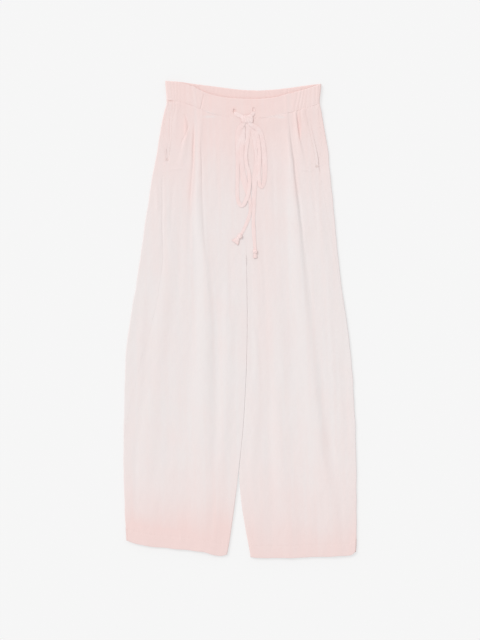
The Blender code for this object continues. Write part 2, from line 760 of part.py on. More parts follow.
def front_band():
    """The ungathered middle of the waistband, with a buttonhole for each end of the tie."""
    down = column(BAND_SECTION, BAND_SECTION_COLUMNS, "down")
    out = column(BAND_SECTION, BAND_SECTION_COLUMNS, "out") * BAND_THICK / 2
    across = np.linspace(-FLAT_FRONT, FLAT_FRONT, 13)[:, None] * np.ones(len(down))
    height = BAND_MIDDLE + BAND_FOLD + out + 0 * across
    front = band_line("front", across) + BAND_HEIGHT * down
    band = loft("waistband_front", np.stack([across, -front, height], axis=-1), "band")
    for number, hole in enumerate(BUTTONHOLES):
        bpy.ops.mesh.primitive_cube_add(size=1)
        cutter = bpy.context.object
        cutter.name = f"buttonhole_cutter_{number}"
        width, tall = BUTTONHOLE_SIZE
        cutter.scale = (width * MM, tall * MM, 3 * BAND_THICK * MM)
        cutter.location = place((hole[0], -hole[1], BAND_MIDDLE + BAND_FOLD))
        cutter.hide_render = True
        cutter.display_type = "WIRE"
        cut = band.modifiers.new("buttonhole", "BOOLEAN")
        cut.operation = "DIFFERENCE"
        cut.solver = "EXACT"
        cut.object = cutter


def back_band():
    """The gathered back of the waistband. It lies flat on the floor, and its inner face, which
    shows above the front of the band, rises and falls with the gathers."""
    down = column(BAND_SECTION, BAND_SECTION_COLUMNS, "down")
    out = column(BAND_SECTION, BAND_SECTION_COLUMNS, "out")
    ends = [float(band_edge(side, 0.5)) for side in (-1, 1)]
    count = round((ends[1] - ends[0]) / BACK_PITCH * 4)
    flat = np.linspace(0, 1, count + 1)
    fold = np.array([0.93, 0.66, 0.33])
    angle = np.concatenate([1 - fold, np.ones(len(flat)), (1 - fold)[::-1]]) * math.pi / 2
    run = np.concatenate([np.zeros(3), flat, np.ones(3)])[:, None]
    side = np.where(run < 0.5, -1, 1)
    reach = BAND_MIDDLE - (BAND_FOLD + out * BAND_THICK / 2) * np.cos(angle)[:, None]
    reach = np.where((run == 0) | (run == 1), reach, BAND_MIDDLE)
    left = band_edge(-1, down) + BAND_MIDDLE
    right = band_edge(1, down) - BAND_MIDDLE
    across = left + (right - left) * run + side * (BAND_MIDDLE - reach)
    sunk = BACK_GATHER * band_wave(run * (ends[1] - ends[0]), BACK_PITCH)
    sunk = sunk * soft_step(0, 0.04, run) * soft_step(1, 0.96, run) * (out < 0)
    height = BAND_MIDDLE - (BAND_FOLD + out * BAND_THICK / 2) * np.sin(angle)[:, None] - sunk
    back = band_line("back", across) + BAND_HEIGHT * down
    loft("waistband_back", np.stack([across, -back, height], axis=-1), "band")


def smooth_route(points, step):
    """Points a step apart along a smooth curve (Catmull-Rom) through the route's own points."""
    p = np.concatenate([2 * points[:1] - points[1:2], points, 2 * points[-1:] - points[-2:-1]])
    t = np.linspace(0, 1, 24, endpoint=False)[:, None]
    fine = []
    for a, b, c, d in zip(p[:-3], p[1:-2], p[2:-1], p[3:]):
        bend = (2 * a - 5 * b + 4 * c - d) * t**2 + (3 * b - a - 3 * c + d) * t**3
        fine.append((2 * b + (c - a) * t + bend) / 2)
    fine = np.concatenate(fine + [points[-1:]])
    along = np.concatenate([[0], np.cumsum(np.linalg.norm(np.diff(fine, axis=0), axis=1))])
    at = np.linspace(0, along[-1], max(4, math.ceil(along[-1] / step) + 1))
    return np.stack([np.interp(at, along, fine[:, k]) for k in range(3)], axis=1)


def tie(name, route):
    """One stretch of the drawstring, as a round cord that lies on the cloth."""
    points = [(x, -d, cloth_top(x, d) + TIE_CLEAR + lift + TIE_THICK / 2) for x, d, lift in route]
    points = place(smooth_route(np.array(points), TIE_THICK * TIE_STEP))
    curve = bpy.data.curves.new(name, "CURVE")
    curve.dimensions = "3D"
    curve.bevel_depth = TIE_THICK * MM / 2
    curve.bevel_resolution = 2
    curve.use_fill_caps = True
    spline = curve.splines.new("POLY")
    spline.points.add(len(points) - 1)
    for point, at in zip(spline.points, points):
        point.co = (*at, 1)
    curve.materials.append(colour("tie"))
    bpy.context.collection.objects.link(bpy.data.objects.new(name, curve))


def tie_end(name, start, way, sections):
    """A small knot at the end of the tie, and the flared end beyond it."""
    x, d = start
    low = max(cloth_top(x + way[0] * s[0], d + way[1] * s[0]) for s in sections) + TIE_CLEAR
    turn = np.arange(12) * math.pi / 6 + math.pi / 12
    rings = []
    for along, width, thick in sections:
        sideways = np.cos(turn) * width / 2
        across = x + way[0] * along - way[1] * sideways
        down = d + way[1] * along + way[0] * sideways
        middle = low + max(thick / 2, TIE_THICK / 2 if along == 0 else 0)
        rings.append(np.stack([across, -down, middle + np.sin(turn) * thick / 2], axis=-1))
    loft(name, np.array(rings), "tie")


def tie_knot():
    """The bow's knot: a rounded block whose sections are fuller than an ellipse."""
    x, d = KNOT_MIDDLE
    low = cloth_top(x, d - KNOT_HALF[1]) + TIE_CLEAR
    turn = (np.arange(16) + 0.5) * math.pi / 8
    round_out = 0.5
    sine = np.sign(np.sin(turn)) * np.abs(np.sin(turn)) ** round_out
    cosine = np.sign(np.cos(turn)) * np.abs(np.cos(turn)) ** round_out
    rings = []
    for share in (-1.0, -0.92, -0.7, -0.35, 0.0, 0.35, 0.7, 0.92, 1.0):
        full = max(1 - abs(share) ** 3, 0.12) ** (1 / 3)
        across = np.full(16, x + share * KNOT_HALF[0])
        down = d + cosine * KNOT_HALF[1] * full
        height = low + KNOT_HALF[2] + sine * KNOT_HALF[2] * full
        rings.append(np.stack([across, -down, height], axis=-1))
    loft("tie_knot", np.array(rings), "tie")


def clear_scene():
    for thing in list(bpy.data.objects):
        bpy.data.objects.remove(thing, do_unlink=True)


def main():
    clear_scene()
    for leg in (-1, 1):
        back_panel(leg)
        pocket_facing(leg)
        front_panel(leg)
    back_band()
    side_band(-1)
    side_band(1)
    front_band()
    for name, route in ROUTES.items():
        tie(name, route)
    tie_knot()
    for name, (start, way, sections) in TIE_ENDS.items():
        tie_end(name, start, way, sections)


main()
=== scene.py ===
"""Looks of a pair of wide-leg drawstring trousers that lie flat on their back.

Plans and tables are in millimetres. "across" runs to the right from the middle of the waist, "down"
runs from the waist's highest corner towards the hems, and heights are above the surface that the
trousers lie on. place() turns them into the frame's metres. A leg is a flattened tube: "rows" are
shares of its length from the waist seam to the hem, and "runs" are distances along the cloth from
the middle of its outer edge.
"""

import math

import bpy
import mathutils
import numpy as np
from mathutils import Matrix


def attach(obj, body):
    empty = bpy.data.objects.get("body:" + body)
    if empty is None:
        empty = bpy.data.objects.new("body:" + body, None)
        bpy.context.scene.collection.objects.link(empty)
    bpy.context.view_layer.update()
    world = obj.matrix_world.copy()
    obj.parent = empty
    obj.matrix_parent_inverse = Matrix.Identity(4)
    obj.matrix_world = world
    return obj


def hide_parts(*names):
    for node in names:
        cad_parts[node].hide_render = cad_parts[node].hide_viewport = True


bl_info = {
    "name": "Wide-leg drawstring trousers",
    "version": (1, 0, 0),
    "blender": (4, 5, 0),
    "location": "View3D > Sidebar > Trousers",
    "description": "Dip-dyed trousers laid flat, with pleats, gathers and a tied drawstring",
    "category": "Object",
}

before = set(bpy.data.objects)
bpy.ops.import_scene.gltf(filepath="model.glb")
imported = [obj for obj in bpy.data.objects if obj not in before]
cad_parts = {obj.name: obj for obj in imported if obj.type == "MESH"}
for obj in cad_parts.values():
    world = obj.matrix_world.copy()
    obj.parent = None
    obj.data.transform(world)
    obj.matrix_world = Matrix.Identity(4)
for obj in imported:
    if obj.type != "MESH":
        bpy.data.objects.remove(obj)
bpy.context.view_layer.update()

MM = 0.001

# Cloth and edges
EDGE_RUN = 2.0  # how far the rounded edge of a leg reaches inwards
EDGE_MIDDLE = 2.5  # height of the middle of that edge
EDGE_ARC = EDGE_RUN * math.pi / 2
INNER_RUN = 0.35  # the same for a leg's inner edge, where it is pressed against the other leg
PARTED = 16.0  # the legs' inner edges are as soft as the outer ones where they are this far apart
LEG_GAP = 0.05
SEAM_GAP = 0.02
SEWN_IN = 1.0  # how far the panels' upper edges run up inside the waistband
TUCK = 0.07  # radius of a panel's edge where it turns into a seam, and how deep it goes
TUCK_DEEP = 0.8
FLUSH = 7.35  # height of the front at the waistband's seam, and how far below it that dies out
FLUSH_REACH = 40.0
SIDE_STRAYS = (0.5, 90, 31)  # how far the silhouette strays from its table, over what, and a seed
HEM_STRAYS = (0.4, 60, 41)
HEM_WIDTH = 250  # about a leg's width, for the hem line's straying
RUMPLES = ((1.0, 60, 210, 11), (0.45, 22, 60, 21))  # share of their height, two sizes and a seed
WAVE_COUNT = 12  # how many sines an uneven surface adds up
CREASE_FADE = 0.7  # power of the sine along a crease, and the same for the shade painted into it
CREASE_SHADE_FADE = 0.5
SHARP_CREASE = 4.0  # shade is painted into creases narrower than this, as deeper colour, and this far beyond them
CREASE_SHADE_BEYOND = 3

# Hems and pockets, with places along a leg as shares of its length from the waist seam
HEM_STEP = 0.4  # how far the hem stands out, and how far before and after its start that grows
HEM_STEP_REACH = (0.0012, 0.0004)
HEM_RADIUS = 0.85  # of the fold at the hem's lower edge
HEM_TURN_POINTS = 9
HEM_FROM = 0.97
HEM_STITCH = 0.9722
HEM_DENT = (0.3, 0.0042)  # depth of the dent along the stitching, and how far it reaches
HEM_PUCKER = (0.14, 0.012, 6.5, 5)  # the same for the puckers beside it, their length and a seed
CROTCH_FROM = 0.305  # the inner edges turn from flat to rounded between these
CROTCH_TO = 0.39
POCKET_END = 0.135
POCKET_FADE = 0.158
POCKET_TOP = {-1: 0.02, 1: 0.115}  # where the facing has sunk to its full depth
POCKET_TUCK = 8.0  # how far the facing goes on under the pocket's edge
POCKET_DROP = {-1: 0.8, 1: 1.1}  # the facing lies this much under the pocket's edge
POCKET_GAPE = {-1: (0.112, 0.9), 1: (0.121, 0.3)}  # where the mouth stands open, and how far
POCKET_GAPE_REACH = (0.02, 9)  # down the leg, and in from the pocket's edge
POCKET_STITCH = 6.0  # how far the topstitching is from the pocket's edge
BAR_TACK_ROWS = 5
BAR_TACK_FROM = 0.0005  # from the pocket's end
BAR_TACK_APART = 0.0011
BAR_TACK_REACH = (0.6, 6.6)  # in from the pocket's edge

# Waistband, with places down it as shares of its height from its upper edge
BAND_HEIGHT = 42.0
BAND_THICK = 3.0
BAND_FOLD = 2.2  # radius of the middle of the band's thickness round the side fold
BAND_MIDDLE = BAND_FOLD + BAND_THICK / 2
BAND_TOP = BAND_MIDDLE + BAND_FOLD + BAND_THICK / 2
BAND_UPPER_TURN = 0.036  # share of the height that the rounding of the upper edge takes
BAND_FACE_END = 0.988
BAND_LOWER_TURN = 0.012
BAND_STITCH = 0.915
STITCH_DENT = (0.12, 0.03)
FLAT_FRONT = 84.0  # half the width of the ungathered front
FLAT_UNEVEN = (0.22, 34, 30, 71)  # height, two sizes and a seed
FLAT_ENDS = (2, -6)  # either side of its end
GATHER_PITCH = 9.0
BACK_PITCH = 11.5
BACK_GATHER = 0.4
# How the gathers drift along the band, lean and differ in height: amounts and lengths
GATHER_DRIFT = ((0.45, 21.0), (0.3, 8.7))
GATHER_LEAN = (0.5, 11.0)
GATHER_HEIGHTS = (0.62, (0.24, 6.1), (0.14, 15.0))
HELD = ((0.62, 0.93, 0.09), (0.3, 0.02, 0.1))  # how much the edges hold them in, where, and reach
GATHER_POWER = 0.8  # makes the gathers' crests broader than the troughs between them
GATHERS_RISE = 5  # from the side fold
GATHERS_END = (1, -7)  # beyond the flat front's seam
SIDE_GATHERS = {-1: 0.7, 1: 1.2}  # share of the gathers' height on each side
SCALLOPS = {"side": 0.7, "back": 0.6}  # how far the gathers wave the upper edge
SIDE_ENDS = (0.08, 0.1)  # shares of a piece over which its gathers rise and die out at its ends
BACK_ENDS = (0.04, 0.04)
INNER_RELIEF = 0.5  # how much of the gathers' height a side piece's inner face has
PUCKERS = {-1: 0.5, 1: 0.6}  # height of the gathers below the band, and how far down they go on
PUCKER_REACH = 24.0
PUCKER_RISE = 4
PUCKERS_FROM = (-4, 12)  # either side of the flat front's end
LIP = (0.35, 0.955, 0.07)  # how far the lower lip rolls out, where, and its reach
LIP_STRETCHES = ((-75, 19), (68, 32))  # the middles and half widths of its two stretches across
LIP_HIGHLIGHT = (0.3, 0.98, 0.09)  # a painted highlight along the lip: how much paler, where, and its reach
SLANT = (0.9, 84.5, 9, 2.2)  # the crease beside the flat front: depth, place, lean and half width
SLANT_RISE = (0.1, 0.3)  # shares of the height between which it grows to its full depth
SIDE_SEAM_DOWN = 46.0  # the silhouette's rows at the band's seam and near its upper edge
SIDE_BAND_DOWN = 20.0
BUTTONHOLES = ((-21.2, 65.6, 2.0), (20.8, 62.4, 1.1))  # across, down, and how far the slot is sunk
BUTTONHOLE_HALF = 1.6
BUTTONHOLE_RIM = 3.2  # from the middle of the slot to the cord of its rim
BUTTONHOLE_CORD = (0.3, 1.0)  # height and half width of that cord
SLOT_EDGE = (1.1, 3.1)
# At the left end the side seam's thick end lifts the band's lower edge
SEAM_END = (-159.0, 8.0)  # across, and its reach
SEAM_END_DOWN = (0.97, 0.06)
SEAM_END_HEIGHT = 1.4

# Drawstring
TIE_CLEAR = 0.05  # how far the tie lies above the cloth, and how far it may sink in where it bends
TIE_SINKS = 0.15
OFF_BAND = 0.5  # how far below the band's seam the tie comes down to the panels
TIE_POINTS = 24
TIE_STEP = 2.5  # from one of its rings to the next
CURVE_POINTS = 24  # between two points of a route, before they are spaced evenly
TIE_SMOOTHED = 5  # steps on each side
TIE_HEM = (0.22, 0.7, 0.16)  # the thinner lines where it is stitched: how much, where, and reach
TIE_UNEVEN = (0.05, 45, 60)  # how much its width changes along it, over what length, and a seed
TIE_DYE = (0.2, 30, 40, 61)  # how much the dye changes, two sizes and a seed
TIE_SECTION = (0.7, 0.55)  # powers of the sines round its section, across and up
ROUND_POINTS = 28  # round a knot or a flared end
WRAP_POINTS = (44, 20)
END_RINGS = 30
LOBE_RINGS = 19
LOBE_END = 0.485  # half turns from the middle of a bulge to its flat end
LEFT_NODES = ("tie_exit_left", "tie_loop_left", "tie_tail_left")
RIGHT_NODES = ("tie_exit_right", "tie_loop_right", "tie_tail_right")

# Meshes
GUIDE_APART = 2.5  # least distance between the guide lines that the front's columns follow
FOOT_REACH = 5.0  # where the columns grow closer before the foot of a pleat
# How many columns lie between one guide line and the next
FRONT_COLUMNS = (5, 22, 6, 8, 16, 6, 8, 14, 40, 8)
OVER_COLUMNS = (20, 7)  # of the back panel, over the side and underneath
UNDER_COLUMNS = (7, 26, 8)
POCKET_COLUMNS = (22,)
JUST_SHORT = 0.9999  # keeps a guide line from meeting the seam where both are on the rounded edge
BAND_POINTS = (26, 8)  # of the band's section, on each face and at each turn
SIDE_RINGS = 150
BACK_RINGS = 260
FOLD_RINGS = 8
FOLD_FROM = 0.07  # share of a quarter turn at which the band starts round its side fold
FLAT_RINGS = 141
BUTTONHOLE_RINGS = (4, 25)  # finer rings: how far to each side of a buttonhole, and how many
LEAST_APART = 0.12
# The rows of a leg: from, to, and how many
ROW_SPANS = (
    (0, 0.012, 7),
    (0.012, POCKET_END, 46),
    (POCKET_END, POCKET_FADE, 12),
    (POCKET_FADE, HEM_FROM, 165),
    (HEM_FROM, 1, 14),
)
ROWS = np.unique(np.concatenate([np.linspace(*span) for span in ROW_SPANS]))[:, None]

# Stitches: from one to the next as a share of a stitch's length, and its rings' places and sizes
STITCH_PITCH = 1.28
STITCH_LOOK = 0.6  # how far to each side a line's direction is taken from
STITCH_RINGS = ((-0.5, 0.45), (-0.28, 1.0), (0.28, 1.0), (0.5, 0.45))
STITCH_POINTS = 6
# The lines of stitching: how many points each has, and how far the thread's middle is above the
# cloth
STITCHING = {
    "hem": (220, -0.12),
    "pocket": (90, 0.0),
    "tack": (9, 0.1),
    "band": (160, -0.14),
    "buttonhole": (60, 0.02),
}
HEM_STITCH_ENDS = (3.0, 4.0)  # from the side seam and from the inner leg seam
POCKET_STITCH_ENDS = (0.006, 0.004)  # from the band's seam and from the pocket's end
BAND_STITCH_ENDS = (-156.0, 152.0)
BAND_STITCH_GAP = 1.0  # on each side of the flat front's seams
NORMAL_STEPS = (0.002, 0.5)  # along the leg and round it, from which a normal is worked out

# Stage
FLOOR_HALF = 25.0
FLOOR_HEIGHT = -0.0003
LAMP_ANGLE = 24.0  # how wide the lamp looks from the trousers, in degrees
LAMP_PLACE = (-1.9, 1.7, 2.1)
SENSOR_WIDTH = 36.0
CAMERA_ACROSS = -0.0002
CAMERA_UP = -0.0018

CLOTH_MATERIAL = "dip_dyed_cotton_twill"
TAPE_MATERIAL = "woven_cotton_tape"
THREAD_MATERIAL = "spun_polyester_thread"
TABLE_MATERIAL = "opal_acrylic_table"
WAVE_LENGTH = 0.314  # of the wave texture at a scale of 1, in metres

# The silhouette at each distance down, across from the middle of the waist
OUTLINE_COLUMNS = ("down", "left_out", "left_in", "right_in", "right_out")
OUTLINE = (
    (0, -169.5, 1.0, 1.0, 164.5),
    (20, -169.5, 1.0, 1.0, 166.5),
    (46, -166.8, 1.0, 1.0, 162.8),
    (68, -172.0, 1.0, 1.0, 167.5),
    (106, -179.5, 1.4, 1.4, 173.8),
    (150, -186.5, 2.0, 2.0, 180.5),
    (192, -194.8, 2.5, 2.5, 185.0),
    (257, -206.0, 3.2, 3.2, 191.5),
    (343, -218.5, 4.7, 4.7, 199.5),
    (429, -231.0, 6.2, 6.2, 208.5),
    (515, -245.5, 7.2, 7.2, 221.0),
    (601, -255.8, 5.8, 5.8, 231.8),
    (690, -258.4, 1.8, 1.8, 237.0),
    (754, -259.2, -2.4, -2.4, 240.4),
    (815, -259.2, -8.8, -8.6, 242.0),
    (845, -259.2, -12.2, -10.4, 242.4),
    (903, -257.4, -18.6, -6.2, 242.4),
    (960, -255.0, -26.4, 2.4, 242.4),
    (1004, -252.4, -33.2, 10.6, 241.8),
    (1030, -251.0, -38.6, 15.4, 238.6),
)

# The waistband's two upper edges: how far down they lie at each place across
BAND_COLUMNS = ("across", "front_top", "back_top")
BAND = (
    (-169.5, 0.0, 0.0),
    (-146.0, 2.6, 1.2),
    (-130.0, 6.0, 3.0),
    (-112.0, 11.5, 5.8),
    (-78.0, 27.0, 10.2),
    (-43.0, 35.5, 14.6),
    (-9.0, 38.4, 18.8),
    (26.0, 39.2, 20.6),
    (60.0, 36.6, 19.0),
    (95.0, 28.0, 15.4),
    (129.0, 19.0, 10.4),
    (150.0, 12.0, 7.6),
    (166.5, 6.5, 6.5),
)

# The hem line of each leg, from its outer edge to its inner one
HEM_COLUMNS = ("share", "left", "right")
HEM = (
    (0.0, 987.0, 1012.0),
    (0.05, 992.0, 1020.6),
    (0.12, 997.2, 1022.4),
    (0.4, 1005.2, 1024.0),
    (0.65, 1010.6, 1026.2),
    (0.76, 1013.6, 1026.4),
    (0.87, 1020.2, 1026.4),
    (0.94, 1022.0, 1026.0),
    (1.0, 1019.0, 1024.0),
)

# The outer seams, in from the silhouette: the side seam, which has rolled to the front at the hip,
# and the slanted edge of the pocket, which meets it at the pocket's lower end
SIDE_COLUMNS = ("down", "left_seam", "left_pocket", "right_seam", "right_pocket")
SIDE = (
    (45, 5.0, 15.0, 7.0, 27.0),
    (80, 5.0, 14.5, 8.0, 26.5),
    (130, 9.5, 20.0, 11.0, 24.5),
    (170, 20.5, 20.5, 23.0, 23.0),
    (200, 21.5, 21.5, 21.0, 21.0),
    (284, 33.0, 33.0, 15.0, 15.0),
    (390, 49.0, 49.0, 6.0, 6.0),
    (460, 50.0, 50.0, 2.6, 2.6),
    (530, 45.0, 45.0, 1.4, 1.4),
    (610, 31.0, 31.0, 1.2, 1.2),
    (700, 12.0, 12.0, 1.2, 1.2),
    (780, 1.2, 1.2, 1.2, 1.2),
    (1030, 1.2, 1.2, 1.2, 1.2),
)

# Height of the front's outer face above the floor, before folds
LOFT_COLUMNS = ("down", "height")
LOFT = (
    (40, 6.3),
    (90, 6.1),
    (160, 5.6),
    (260, 5.2),
    (420, 5.0),
    (900, 5.0),
    (1030, 5.3),
)

# Folds of the front panels. Each runs down one leg (-1 left, 1 right); a row gives where its crest
# lies, as a share of the leg's width from the outer edge, its height, and how far it slopes away
# to the outer and to the inner side. A trough has a negative height.
FOLD_COLUMNS = ("down", "share", "height", "outer_slope", "inner_slope")
INNER_PLEATS = {
    -1: (
        (60, 0.430, 0.1, 6, 9),
        (110, 0.462, 0.8, 8, 7),
        (170, 0.478, 1.1, 9, 9),
        (259, 0.492, 1.4, 10, 14),
        (320, 0.535, 1.9, 14, 20),
        (400, 0.607, 2.4, 24, 24),
        (600, 0.657, 2.6, 34, 30),
        (780, 0.690, 2.0, 42, 34),
        (930, 0.735, 1.0, 42, 34),
        (1040, 0.740, 0.6, 42, 34),
    ),
    1: (
        (60, 0.440, 0.2, 4, 16),
        (110, 0.440, 1.2, 4, 18),
        (175, 0.435, 2.4, 5, 22),
        (260, 0.420, 2.6, 7, 26),
        (380, 0.410, 2.6, 13, 32),
        (550, 0.390, 2.6, 20, 40),
        (760, 0.330, 2.4, 24, 46),
        (920, 0.220, 1.6, 28, 46),
        (1040, 0.180, 0.8, 28, 46),
    ),
}
OUTER_PLEATS = {
    -1: (
        (60, 0.255, 0.0, 5, 6),
        (72, 0.265, 0.1, 5, 7),
        (90, 0.280, 0.9, 5, 8),
        (115, 0.300, 1.4, 5, 10),
        (150, 0.290, 0.9, 7, 12),
        (205, 0.270, 0.0, 12, 14),
        (1040, 0.250, 0.0, 24, 24),
    ),
    1: (
        (60, 0.325, 0.4, 4, 7),
        (85, 0.330, 1.6, 4, 9),
        (120, 0.325, 1.9, 4, 11),
        (160, 0.315, 1.2, 7, 13),
        (215, 0.280, 0.0, 12, 16),
        (600, 0.160, 0.0, 18, 18),
        (1040, 0.080, 0.0, 10, 10),
    ),
}
SOFT_FOLDS = (
    (-1, (
        (40, 0.150, 0.3, 6, 7),
        (70, 0.155, 0.6, 7, 8),
        (130, 0.175, 0.0, 8, 9),
    )),
    (1, (
        (40, 0.225, 0.4, 6, 7),
        (70, 0.225, 0.7, 7, 8),
        (125, 0.215, 0.0, 8, 9),
    )),
    (-1, (
        (400, 0.820, 0.0, 14, 16),
        (520, 0.830, 1.1, 18, 20),
        (720, 0.840, 1.3, 20, 22),
        (900, 0.850, 0.7, 20, 20),
        (1040, 0.850, 0.5, 20, 20),
    )),
    (-1, (
        (250, 0.160, 0.0, 14, 18),
        (380, 0.270, 1.1, 18, 22),
        (520, 0.260, 1.4, 22, 26),
        (760, 0.220, 1.2, 26, 30),
        (940, 0.200, 0.6, 26, 32),
        (1040, 0.190, 0.4, 26, 32),
    )),
    (1, (
        (380, 0.900, 0.0, 12, 14),
        (540, 0.905, 0.7, 14, 14),
        (780, 0.900, 1.0, 18, 18),
        (930, 0.890, 0.5, 18, 18),
        (1040, 0.890, 0.2, 18, 18),
    )),
    (1, (
        (420, 0.680, 0.0, 20, 20),
        (560, 0.680, 1.2, 24, 26),
        (780, 0.650, 1.6, 28, 30),
        (980, 0.620, 0.8, 30, 32),
        (1040, 0.620, 0.7, 30, 32),
    )),
    (1, (
        (200, 0.200, 0.0, 12, 14),
        (320, 0.160, 0.8, 16, 18),
        (520, 0.110, 0.6, 20, 22),
        (700, 0.100, 0.0, 20, 22),
    )),
)

# Creases of the front that are finer than the solids' own folds, each along a bowed line
CREASE_COLUMNS = "leg from_across from_down to_across to_down bow half_width height".split()
CREASES = (
    (-1, -108.6, 94, -119.6, 274, 1.5, 3.4, -1.0),
    (-1, -108.8, 92, -111.6, 182, 0, 3.2, -0.7),
    (-1, -118.0, 235, -121.0, 400, 1, 7, -0.6),
    (-1, -94.3, 118, -91.5, 266, 0, 3.0, -0.9),
    (-1, -92.0, 238, -83.2, 380, -1, 5, -0.8),
    (-1, -82.0, 340, -68.0, 520, 2, 9, -0.7),
    (-1, -67.0, 420, -66.0, 850, 4, 14, -0.6),
    (-1, -129.8, 70, -120.4, 107, 1, 3.0, -1.1),
    (-1, -120.4, 98, -136.0, 136, 1, 3.0, -0.9),
    (-1, -167.0, 45.2, -144.0, 46.4, 0, 1.8, -1.1),
    (-1, -158.6, 68, -159.4, 134, 0, 2.2, -0.6),
    (-1, -165.6, 146, -164.0, 178, 0, 3.6, -0.9),
    (-1, -176.6, 188, -177.4, 420, 0.5, 4.5, -0.7),
    (-1, -59.5, 98, -58.0, 292, 0, 2.6, -0.4),
    (-1, -172.0, 193, -128.0, 190, 1, 3, 0.5),
    (-1, -190.0, 225, -187.0, 292, 1, 7, 0.8),
    (-1, -152.0, 215, -158.0, 330, -2, 6, -0.5),
    (-1, -138.0, 300, -146.0, 520, 2, 9, -0.5),
    (-1, -196.0, 560, -199.0, 668, 0, 15, -0.5),
    (-1, -160.0, 540, -166.0, 900, 3, 16, -0.4),
    (-1, -213.0, 430, -224.0, 720, -4, 13, 0.5),
    (-1, -62.0, 875, -74.0, 1010, 0, 11, -0.5),
    (-1, -122.0, 905, -125.0, 1005, 1, 12, -0.3),
    (-1, -191.0, 880, -197.0, 1000, 0, 13, 0.4),
    (-1, -232.0, 760, -234.0, 930, 1, 9, -0.4),
    (-1, -30.0, 330, -34.0, 560, 2, 9, -0.4),
    (1, 101.6, 114, 114.8, 232, 0.3, 5.4, -1.0),
    (1, 112.0, 205, 130.8, 372, 2, 5.2, -1.0),
    (1, 128.0, 350, 150.0, 600, 2, 13, -0.6),
    (1, 150.0, 560, 199.0, 925, 2, 18, -0.8),
    (1, 115.2, 70, 122.2, 132, 1, 3.2, -1.7),
    (1, 95.0, 104, 104.0, 226, 0, 5, 0.7),
    (1, 36.0, 292, 50.0, 568, 2, 8, -0.6),
    (1, 49.0, 535, 57.0, 990, 2, 15, -0.5),
    (1, 120.0, 190, 152.0, 193, -1, 3, 0.5),
    (1, 146.0, 205, 158.0, 330, 1, 6, -0.5),
    (1, 176.0, 410, 197.0, 705, 2, 10, 0.5),
    (1, 212.0, 555, 222.0, 830, 2, 12, -0.5),
    (1, 24.0, 610, 4.0, 800, -3, 10, 0.5),
    (1, 20.0, 470, 41.0, 640, 1, 8, -0.4),
    (1, 84.0, 640, 92.0, 930, 0, 12, -0.4),
    (1, 60.0, 925, 62.0, 1018, 0, 11, -0.4),
    (1, 141.0, 915, 147.0, 1020, 0, 13, 0.4),
    (1, 205.0, 895, 212.0, 1012, 0, 11, -0.4),
    (1, 62.0, 150, 66.0, 330, 1, 5, -0.4),
)

# How deep the dip-dye is at each distance down: 1 in the dye bath's strongest part
DYE_DRIFT = (14, 80, 400, 53)  # how far that wanders up and down, two sizes and a seed
DYE_STREAKS = ((0.05, 16, 500, 51), (0.03, 90, 120, 52))
CREASE_SHADE = 0.07  # how much deeper the colour is painted, as shade, in a crease 1 mm deep
DYE_MOST = 1.3
BACK_DEEPER = 0.22  # the inside of the back of the waistband
DYE_COLUMNS = ("down", "depth")
DYE = (
    (0, 0.92),
    (40, 0.82),
    (84, 0.76),
    (110, 0.68),
    (160, 0.52),
    (220, 0.34),
    (290, 0.21),
    (380, 0.14),
    (500, 0.09),
    (640, 0.07),
    (760, 0.12),
    (850, 0.23),
    (910, 0.39),
    (955, 0.62),
    (985, 0.84),
    (1030, 0.95),
)
# Soft patches where the colour is a little deeper or paler: uneven dye, painted highlights on the
# pleats' crests, painted shade along the pleats' creases, in a buttonhole's slot and below the left
# side seam's end, and painted highlights on the band's lower lip
PATCH_COLUMNS = ("across", "down", "half_across", "half_down", "amount")
DYE_SHADE_AND_HIGHLIGHT_PATCHES = (
    # Uneven dye
    (46, 420, 24, 260, 0.16),
    (10, 150, 46, 130, 0.14),
    # Painted highlights along the pleats' crests
    (-104, 240, 9, 130, -0.12),
    (-95, 500, 14, 300, -0.10),
    (100, 240, 10, 150, -0.12),
    (118, 520, 15, 260, -0.10),
    # Uneven dye
    (-196, 610, 30, 90, 0.08),
    (-150, 985, 90, 40, 0.22),
    (-180, 990, 80, 36, 0.12),
    (120, 965, 100, 60, -0.26),
    (-62, 960, 36, 70, 0.12),
    # Painted shade along the pleats' creases
    (-126, 100, 6, 22, 0.30),
    (118.5, 98, 4, 24, 0.55),
    (-108.8, 150, 3.5, 60, 0.30),
    (-117, 236, 8, 44, 0.32),
    (113, 215, 7, 46, 0.30),
    # Painted shade in the left buttonhole's slot and below the end of the left side seam
    (-21.2, 65.2, 5, 6.5, 0.8),
    (-159.0, 43.8, 6, 1.6, 0.5),
    # Painted highlights on two stretches of the waistband's lower lip
    (-75.0, 77.8, 13, 2.6, -0.5),
    (79.0, 79.2, 9, 2.4, -0.5),
    # Darker near the left hem's outer corner
    (-225, 965, 45, 30, 0.25),
)

